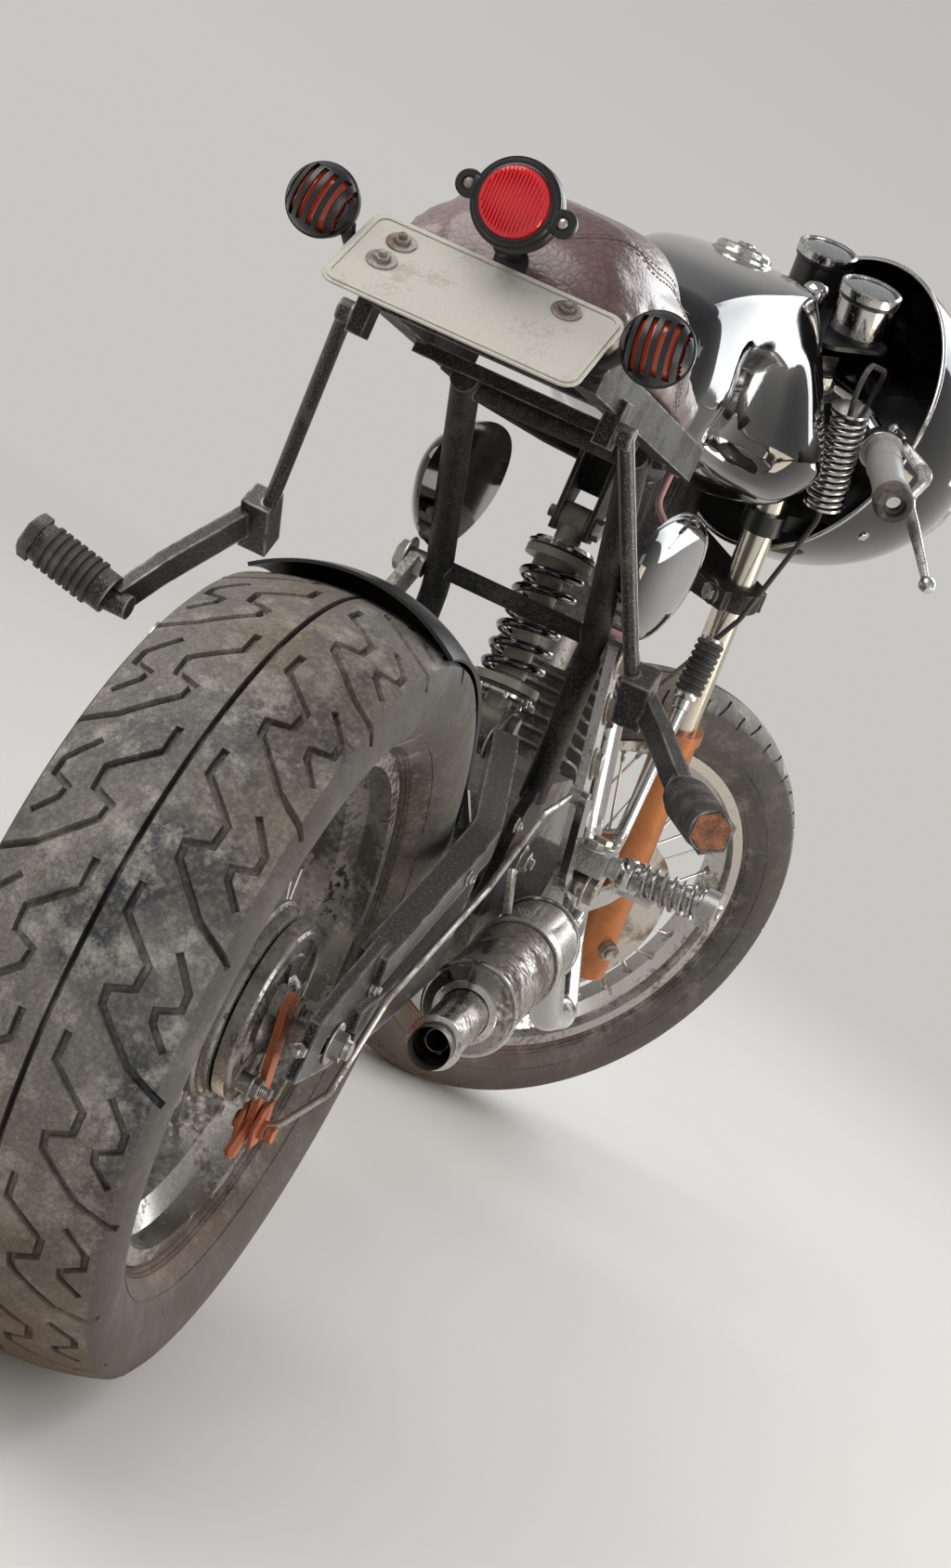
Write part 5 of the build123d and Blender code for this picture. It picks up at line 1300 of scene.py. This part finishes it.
# %% [markdown]
# ## Pegs, springs and bolts
#
# The folding pegs are ribbed rubber with a hard, worn, copper-brown end. The rider's pegs
# are sprung: a collar, an open coil and an end disc on a tube. Bolts hold the rearset
# hangers, the yokes and the caliper, and a ribbed boot covers the kick lever's grip.

# %% Peg rubbers and their worn ends
folding_pegs = (
    (Vector((106, 216, 527)), Vector((98, 296, 545))),
    (Vector((182, -256, 572)), Vector((97, -296, 564))),
)


def ribs(first, count, pitch, low, high, rise=0.2, top=0.62, end=0.8):
    """An outline of (radius, along) with ribs; the last three are shares of their pitch."""
    outline = []
    for k in range(count):
        at = first + k * pitch
        outline += [(low, at), (high, at + pitch * rise), (high, at + pitch * top), (low, at + pitch * end)]
    return outline


rubbers = bmesh.new()
for start, end in folding_pegs:
    way = (end - start).normalized()
    turned(rubbers, ribs(14, int(((end - start).length - 26) / 7.4), 7.4, 17.1, 19.2), start, way, 44)
    hexagon(rubbers, end - way * 11, way, 20.5, 10.6)
    hexagon(rubbers, end - way * 0.6, way, 16.5, 1.4, 1)
as_piece(rubbers, "peg_rubbers", "frame", "peg_rubber worn_copper")

# %% Rider's peg springs, rearset bolts and the kick lever's boot
springs = bmesh.new()
rearset_bolts = bmesh.new()
for side in (-1, 1):
    start = Vector((486, side * 192, 457))
    end = Vector((481, side * 291, 462))
    way = (end - start).normalized()
    collar = [
        (11.1, 5), (14.4, 5), (15.2, 6), (15.2, 17), (14.4, 18), (12.6, 18.6), (12.6, 20), (15.8, 20.6),
        (15.8, 24), (11.1, 24.4),
    ]
    turned(springs, collar, start, way, 36)
    coil(springs, start + way * 26, start + way * 85, 14.4, 2.1, 6.5)
    hexagon(springs, end + way * 0.6, way, 7.5, 3.5)
    top = Vector((530, side * 102, 632))
    foot = Vector((484, side * 152, 418))
    along = (foot - top).normalized()
    outward = (Vector((0, side, 0)) - along * (along.y * side)).normalized()
    for share in (0.24, 0.47, 0.70):
        bolt(rearset_bolts, top.lerp(foot, share) + outward * 4.6, outward, 8.0)
    bolt(rearset_bolts, (530, side * 110.1, 629), (0, side, 0), 11.0)
    bolt(rearset_bolts, (486, side * 174.1, 430), (0, side, 0), 10.0)
    for x in (462, 510):
        bolt(rearset_bolts, (x, side * 168, 467.1), (0, 0, 1), 7.0)
as_piece(springs, "peg_springs", "frame", "chrome", crease=45)
as_piece(rearset_bolts, "rearset_bolts", "frame", "zinc_steel")

boot = bmesh.new()
foot = Vector((818, -140, 606))
way = (Vector((824, -140, 668)) - foot).normalized()
turned(boot, ribs(3, 8, 7.2, 12.2, 14.4), foot, way, 36)
ferrule = [(7.2, -16), (9.4, -15), (9.4, -5), (11.8, -4), (12.6, -2), (12.6, 2), (12.1, 2.6)]
turned(boot, ferrule, foot, way, 36, 1)
as_piece(boot, "kick_boot", "frame", "grip_rubber chrome")

# %% Fork and caliper bolts
fork_bolts = bmesh.new()
for side in (-1, 1):
    for level, reach in ((478.0, 30.0), (716.0, 27.0)):
        at = fork_at(fork_offset - reach - 0.1, side * 104, level)
        bolt(fork_bolts, at, -ahead_fork, 8.0)
for rise in (-24, 24):
    bolt(fork_bolts, fork_at(fork_offset - 55, -109.1, 99 + rise), to_right, 9.0)
as_piece(fork_bolts, "fork_bolts", "fork", "zinc_steel", steered)

# %% [markdown]
# ## Tank and side covers
#
# Pressed steel has no flats: the tank's section changes from station to station, its
# knee hollows are dished in behind the wide front shoulders, and the side covers are
# egg-shaped domes. Each outline is a few corners, cut again and again until it is smooth.

# %% Smooth outlines and skins
def corner_cut(points, times):
    """A closed outline whose corners are cut until it is a smooth curve."""
    for _ in range(times):
        pairs = zip(points, points[1:] + points[:1])
        points = [p for a, b in pairs for p in (a * 0.75 + b * 0.25, a * 0.25 + b * 0.75)]
    return points


def flowing(x, table):
    """A value on one smooth curve through a table of (x, value), without a flat at each row."""
    steps = list(zip(table, table[1:]))
    slopes = [(b[1] - a[1]) / (b[0] - a[0]) for a, b in steps]
    leaning = slopes[:1] + [(p + q) / 2 for p, q in zip(slopes, slopes[1:])] + slopes[-1:]
    for (a, b), start, end in zip(steps, leaning, leaning[1:]):
        if x <= b[0] or b is table[-1]:
            span = b[0] - a[0]
            t = min(1.0, max(0.0, (x - a[0]) / span))
            bend = span * t * (1 - t) * (start * (1 - t) - end * t)
            return a[1] + (b[1] - a[1]) * eased(x, a[0], b[0]) + bend


def skinned(bm, rings, material=0):
    """Quads between rings of as many vertices each, with a face on both ends."""
    made = [bm.faces.new(rings[0]), bm.faces.new(rings[-1])]
    for first, second in zip(rings, rings[1:]):
        for k in range(len(first)):
            after = (k + 1) % len(first)
            made.append(bm.faces.new((first[k], first[after], second[after], second[k])))
    for face in made:
        face.material_index = material
    bmesh.ops.recalc_face_normals(bm, faces=made)


# %% Tank skin
tank_stations = [
    # x, half widths of floor, waist and roof, then heights of floor, waist and roof
    (546, 48, 62, 40, 834, 880, 946),
    (650, 70, 84, 58, 814, 880, 986),
    (740, 84, 95, 70, 806, 880, 1008),
    (830, 104, 130, 74, 800, 872, 1024),
    (900, 108, 150, 72, 796, 864, 1031),
    (936, 104, 150, 66, 798, 864, 1024),
    (956, 88, 134, 48, 806, 868, 1000),
]
knee_depth = 12.0
knee_rim = 2.2
tank_skin = bmesh.new()
rings = []
for x in [546, 548, 553, 562] + list(range(575, 946, 10)) + [948, 952, 955, 957]:
    floor_y, waist_y, roof_y, low, middle, high = (
        flowing(x, [(row[0], row[k]) for row in tank_stations]) for k in range(1, 7)
    )
    half = [
        (floor_y, low), (waist_y + 3, middle - 14), (waist_y + 3, middle + 18), (roof_y + 15, high - 14),
        (roof_y, high),
    ]
    outline = [Vector(point) for point in half] + [Vector((0, high + 4))]
    outline += [Vector((-y, z)) for y, z in half[::-1]]
    shrink = 1 - 0.16 * (1 - eased(x, 540, 562)) - 0.12 * eased(x, 944, 962)
    along_knee = eased(x, 612, 668) * (1 - eased(x, 806, 866))
    ring = []
    for point in corner_cut(outline, 3):
        y = point.x * shrink
        z = middle + (point.y - middle) * shrink
        hollow = along_knee * eased(z, 818, 852) * (1 - eased(z, 922 + (x - 740) * 0.12, 968))
        dish = knee_depth * hollow - knee_rim * 4 * hollow * (1 - hollow)
        ring.append(tank_skin.verts.new((x, y - copysign(dish, y) * min(1.0, abs(y) / 30), z)))
    rings.append(ring)
skinned(tank_skin, rings)
tank_skin = as_piece(tank_skin, "tank_skin", "frame", "gloss_black", crease=50)
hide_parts("fuel_tank")

# %% Domed side covers
egg_corners = [(398, 736), (560, 780), (712, 768), (728, 698), (600, 636), (458, 662)]
egg = corner_cut([Vector(point) for point in egg_corners], 4)
egg_middle = sum(egg, Vector((0, 0))) / len(egg)
covers = bmesh.new()
for side in (-1, 1):
    rings = [[covers.verts.new((p.x, side * 102.5, p.y)) for p in egg]]
    for degrees in range(4, 90, 5):
        size = cos(radians(degrees)) ** 0.62
        left_at = side * (103.5 + 20 * sin(radians(degrees)))
        spots = [egg_middle + (p - egg_middle) * size for p in egg]
        rings.append([covers.verts.new((p.x, left_at, p.y)) for p in spots])
    skinned(covers, rings)
    rod(covers, (468, side * 104, 683), (468, side * 80, 683), 7)
covers = as_piece(covers, "cover_domes", "frame", "gloss_black", crease=50)
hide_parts("side_covers")

# %% [markdown]
# ## Seat
#
# The seat is one stuffed hide: a hump over the tail that falls to a thin pad by the tank.
# A subdivided block is shaped by its outline, pumped up by a short cloth run so that it
# bulges between its edges, and only then gets its seams and stitches.

# %% Seat form
seat_top = [(-8, 893), (20, 920), (80, 942), (165, 950), (215, 940), (262, 900), (330, 886), (430, 884), (541, 900)]
seat_width = [(-8, 80), (40, 98), (120, 112), (200, 117), (300, 113), (430, 100), (541, 70)]
seat_bottom = [(-8, 853), (400, 829), (541, 846)]

form = bmesh.new()
bmesh.ops.create_cube(form, size=2.0)
bmesh.ops.subdivide_edges(form, edges=form.edges[:], cuts=25, use_grid_fill=True)
for vert in form.verts:
    x = 266.5 + 274.5 * vert.co.x
    across, rise = vert.co.y, vert.co.z
    astern_part = max(0.0, -vert.co.x)
    wide, top, low = between(x, seat_width), between(x, seat_top), between(x, seat_bottom)
    round_in, drop = 1.0, 0.0
    if rise > 0:
        round_in = sqrt(max(0.0, 1 - 0.42 * across * across * rise * rise))
        drop = (abs(across) ** 3.2) * (top - low) * 0.34 + astern_part**12 * 26
    vert.co.x = x + 10 * astern_part**8 * max(0.0, rise)
    vert.co.y = wide * across * round_in * (1 if rise > -0.5 else 0.985)
    vert.co.z = low + (top - low - drop) * (rise + 1) / 2
bmesh.ops.recalc_face_normals(form, faces=form.faces)
bmesh.ops.transform(form, matrix=upright, verts=form.verts)
seat = in_scene("seat_hide", as_mesh(form, "seat_hide"))

# %% Seat stuffing
seat.modifiers.new("voxels", "REMESH").voxel_size = 0.006
applied(seat)
shape = [v.co.copy() for v in seat.data.vertices]
cloth = seat.modifiers.new("stuffing", "CLOTH")
set_all(cloth.settings, use_pressure=True, uniform_pressure_force=3.0)
cloth.settings.effector_weights.gravity = 0.0
scene = bpy.context.scene
for frame_number in range(1, 15):
    scene.frame_set(frame_number)
applied(seat)
scene.frame_set(1)
swell_limit = 0.006
down_way = -(upright.to_3x3() @ Vector((0, 0, 1))).normalized()
for vert, start in zip(seat.data.vertices, shape):
    move = vert.co - start
    if move.length > swell_limit:
        move = move.normalized() * swell_limit
    if move.dot(down_way) > 0:
        move -= down_way * move.dot(down_way)
    vert.co = start + move
print("seat vertices:", len(seat.data.vertices))
seat.data.materials.append(finishes["seat_hide"])
seat.data.shade_smooth()
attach(seat, "frame")
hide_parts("seat")

# %% Seat seams
hide = BVHTree.FromPolygons([v.co for v in seat.data.vertices], [p.vertices[:] for p in seat.data.polygons])


def on_hide(spot):
    """The nearest place on the hide, and the way out of it."""
    near, normal, _, _ = hide.find_nearest(upright @ spot)
    return to_board @ near, (to_board.to_3x3() @ normal).normalized()


def laid_on_hide(points, step):
    """Spots on a smooth line through points, put onto the hide, each with its way out."""
    spots = []
    full = [Vector(p) for p in (points[0], *points, points[-1])]
    for a, b, c, d in zip(full, full[1:], full[2:], full[3:]):
        count = max(2, round((c - b).length / step))
        for t in (k / count for k in range(count)):
            bent = (2 * a - 5 * b + 4 * c - d) * t**2 + (3 * b - a - 3 * c + d) * t**3
            spots.append(on_hide(0.5 * (2 * b + (c - a) * t + bent)))
    return spots


side_seam = [
    (20, -20, 925), (66, -53, 933), (97, -75, 927), (157, -83, 924), (175, -99, 906), (186, -116, 873),
    (268, -114, 842),
]
cross_seam = [
    (268, -108, 858), (262, -96, 886), (258, -60, 902), (256, 0, 906), (258, 60, 902), (262, 96, 886),
    (268, 108, 858),
]
seams = bmesh.new()
for line in (side_seam, [(x, -y, z) for x, y, z in side_seam], cross_seam):
    spots = laid_on_hide(line, 4.0)
    wire_along(seams, [spot - normal * 0.5 for spot, normal in spots], 1.5)
    for k in range(1, len(spots) - 2, 2):
        spot, normal = spots[k]
        way = (spots[k + 1][0] - spot).normalized()
        for offset in (-4.5, 4.5):
            at, _ = on_hide(spot + way.cross(normal) * offset)
            rod(seams, at, at + way * 4.2, 0.75, 8, 1, 0.3)
as_piece(seams, "seat_seams", "frame", "seat_hide thread")

# %% [markdown]
# ## Tank, cowl and cockpit
#
# The filler cap is a chromed lid in a rolled ring. The cowl is open at its back, so its
# bright edge trim frames two small clocks in cups, the silver bar and the levers. What
# turns with the bars is drawn straight ahead and placed by the steered board.

# %% Filler cap
cap_base = Vector((846, 0, 1025))
cap = bmesh.new()
lid = [
    (30.2, -4), (33, -2), (33.6, 2), (32, 4.6), (30.2, 5), (29.6, 9.6), (27, 12.2), (16, 13.6), (0, 14.0),
]
turned(cap, lid, cap_base, (0, 0, 1), 64)
turned(cap, [(9, 13.2), (9.6, 16), (8.4, 17.4), (0, 17.8)], cap_base, (0, 0, 1), 40)
bar(cap, cap_base + Vector((-4, -1.2, 17.4)), cap_base + Vector((4, -1.2, 17.4)), 1.4, 1.2, (0, 1, 0), 0.2)
tank_cap = as_piece(cap, "filler_cap", "frame", "chrome", crease=30)
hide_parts("fuel_tank_cap")

# %% Cowl trim and lamp ring
cowl_tilt = radians(1.6)
nose_way = Vector((cos(cowl_tilt), 0, -sin(cowl_tilt)))
cowl_centre = Vector((1160, 0, 952))
cowl_radius = 178.0
cowl_depth = 185.0
trim = bmesh.new()
bead = [(cowl_radius - 1.5 + 2.6 * cos(radians(a)), 2.6 * sin(radians(a))) for a in range(0, 361, 30)]
turned(trim, bead, cowl_centre, nose_way, 128)
lamp_ring = [(93, 0), (94, 3), (90, 9), (83, 11), (80, 9.6), (80.6, 8), (91, 0), (93, 0)]
turned(trim, lamp_ring, cowl_centre + nose_way * (cowl_depth - 1), nose_way, 96)
as_piece(trim, "cowl_trim", "fork", "chrome", steered)

cowl_bolts = bmesh.new()
for side in (-1, 1):
    for angle in (radians(8), radians(-22)):
        out_way = Vector((-0.1, side * cos(angle), sin(angle))).normalized()
        at = cowl_centre + nose_way * 40 + Vector((0, side * cos(angle), sin(angle))) * 172
        bolt(cowl_bolts, at, out_way, 3.6)
as_piece(cowl_bolts, "cowl_bolts", "fork", "chrome", steered)

# %% Clocks
gauge_base = 770.0
gauge_height = 55.0
needle_degrees = -206
for side, cup_finish, label in ((-1, "chrome", "right"), (1, "black_plastic", "left")):
    foot = fork_at(109, side * 48, gauge_base)
    top = fork_at(109, side * 48, gauge_base + gauge_height)
    clock = bmesh.new()
    cup = [(0, -2.4), (22, -2.4), (29, 2), (30.6, 9), (30.6, 41), (32, 42.5), (32, 46)]
    turned(clock, cup, foot, up_fork, 64)
    bezel = [
        (30.4, -10), (33.4, -8), (33.8, -3), (33.4, 1.2), (30.6, 2.4), (28.4, 1.6), (27.6, -1.6), (27.6, -6),
    ]
    turned(clock, bezel, top, up_fork, 72, 1)
    turned(clock, [(0, -6), (27.8, -6)], top, up_fork, 48, 2)
    for tick in range(25):
        long, wide = (5.5, 1.1) if tick % 4 == 0 else (2.8, 0.7)
        start, end = (
            face_spot(top - up_fork * 5.8, up_fork, radius, -210 + 10 * tick) for radius in (25, 25 - long)
        )
        bar(clock, start, end, wide, 0.5, up_fork.cross(end - start), 0.05, 3)
    tail, tip = (face_spot(top - up_fork * 4.6, up_fork, radius, needle_degrees) for radius in (-6, 21))
    bar(clock, tail, tip, 1.6, 0.6, up_fork.cross(tip - tail), 0.1, 4)
    turned(clock, [(0, 1.6), (2.6, 1.2), (3.4, 0), (0, 0)], top - up_fork * 5.2, up_fork, 20)
    # The needle is in the amber lens finish, so it carries that finish's faint painted glow.
    looks = f"{cup_finish} chrome dial_face dial_ink amber_lens"
    as_piece(clock, f"{label}_clock", "fork", looks, steered, 30)
    pane = bmesh.new()
    glass = [(0, 1.6), (18, 1.0), (27.6, -0.8), (27.6, -1.8), (18, -0.2), (0, 0.4)]
    turned(pane, glass, top, up_fork, 48)
    as_piece(pane, f"{label}_clock_glass", "fork", "clear_lens", steered)

ignition = bmesh.new()
dome = [(0, 0), (14.5, 0), (15, 3), (14, 11), (9.6, 16.4), (0, 18.6)]
turned(ignition, dome, fork_at(77, 0, gauge_base + 18), up_fork, 40)
as_piece(ignition, "ignition_dome", "fork", "chrome", steered)

# %% Grips
bar_radius = 11.0


def grip_line(side):
    """Where the bar bends and ends, and the way from one to the other."""
    bend = Vector((1143, side * 141, 978))
    end = Vector((1098, side * 266, 948.6))
    return bend, end, (end - bend).normalized()


hand_parts = bmesh.new()
for side in (-1, 1):
    bend, outer, way = grip_line(side)
    inner = bend + way * 29
    span = (outer - inner).length
    sleeve = 1 if side < 0 else 0
    outline = [(bar_radius + 0.5, 0), (21.5, 0), (22.4, 1.2), (22.4, 4.4), (20.6, 5.6)]
    if sleeve:
        outline += [(18.9, 6.4), (18.9, 31), (19.6, 31.6), (19.6, 33.4), (18.2, 34), (18.0, span - 22)]
    else:
        outline += ribs(8, 16, (span - 22) / 16, 17.2, 18.6, 0.25, 0.75, 1.0)
    turned(hand_parts, outline, inner, way, 48, sleeve)
    ring_start = inner + way * (span - 23)
    ring = [(17, 0), (18.8, 0.3), (19.2, 2), (19.2, 4.5), (20.4, 5), (20.4, 7), (19.6, 7.6), (19.6, 13)]
    turned(hand_parts, ring, ring_start, way, 48, sleeve)
    end_weight = [
        (17, 12.6), (20.4, 13), (21.2, 15), (21.2, 25), (20.4, 29.6), (18.4, 32.4), (15.0, 33.2), (12.4, 32.4),
        (11.6, 30.4), (11.6, 27), (8.2, 26.4), (7.8, 24), (7.8, 12), (0, 12),
    ]
    turned(hand_parts, end_weight, ring_start, way, 48)
hands = as_piece(hand_parts, "hand_grips", "fork", "grip_rubber sleeve_grey", steered, 32)
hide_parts("grips")

# %% Perches, master cylinders and lever blades
def blade_along(bm, points, sizes, across):
    """A flat lever on a smooth line; sizes are (share of the way, width, thickness)."""
    mesh = line_mesh(points, 8)
    path = [v.co.copy() for v in mesh.vertices]
    bpy.data.meshes.remove(mesh)
    last = len(path) - 1
    rings = []
    for k, at in enumerate(path):
        way = (path[min(k + 1, last)] - path[max(k - 1, 0)]).normalized()
        wide_way = (Vector(across) - way * way.dot(Vector(across))).normalized()
        thin_way = way.cross(wide_way)
        width, thick = (between(k / last, [(row[0], row[column]) for row in sizes]) for column in (1, 2))
        loop = []
        for angle in (radians(36 * corner + 18) for corner in range(10)):
            u = copysign(abs(cos(angle)) ** 0.6, cos(angle)) * width / 2
            v = copysign(abs(sin(angle)) ** 0.8, sin(angle)) * thick / 2
            loop.append(bm.verts.new(at + wide_way * u + thin_way * v))
        rings.append(loop)
    skinned(bm, rings)


controls = bmesh.new()
for side in (-1, 1):
    bend, outer, way = grip_line(side)
    perch = bend + way * 8.5
    body = [(11.4, 0), (17, 0), (21, 2), (22, 5), (22, 13), (20.6, 16.4), (17.6, 17.6), (11.4, 17.6), (11.4, 0)]
    turned(controls, body, perch, way, 40, 1)
    collar = [(11.4, 17.4), (20.6, 17.4), (23.4, 18.4), (23.8, 19.6), (23.4, 20.8), (19, 21.6), (11.4, 21.4)]
    turned(controls, collar, perch, way, 48)
    low_way = way.cross(Vector((1, 0, 0))).normalized() * -side
    ear = perch + way * 9 + low_way * 24
    bar(controls, ear - way * 8, ear + way * 8, 12, 13, (1, 0, 0), 2.0, 1)
    bolt(controls, ear + Vector((-6.4, 0, 0)), (-1, 0, 0), 3.4)
    cylinder = [(0, 0), (8, 0), (10, 2), (10.4, 9), (10.4, 32), (9, 36), (9, 40), (5, 41.5), (0, 41.5)]
    turned(controls, cylinder, (1165, side * 112, 974), (0, side, 0), 36, 1)
    blade = [
        (1148, side * 151, 992), (1150, side * 190, 989), (1151, side * 228, 986), (1143, side * 236, 968),
        (1135, side * 242, 953), (1132, side * 290, 936), (1125, side * 349, 912),
    ]
    sizes = [(0, 13, 9), (0.3, 15, 8), (0.55, 15, 8), (0.8, 14, 7), (0.95, 10, 6.5), (1, 8, 6)]
    blade_along(controls, blade, sizes, (0.3, 0, 1))
    ball = [(0, -9.4), (4.8, -8), (8.2, -3), (8.8, 0), (8.2, 3), (4.8, 8), (0, 9.4)]
    turned(controls, ball, (1125, side * 352, 911), (0, side, -0.4), 28)
    hexagon(controls, (1147, side * 160, 995), (0.1, 0, 1), 6, 4)
levers = as_piece(
    controls, "lever_hardware", "fork", "lever_alloy black_plastic", steered, 34,
)
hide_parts("hand_levers")
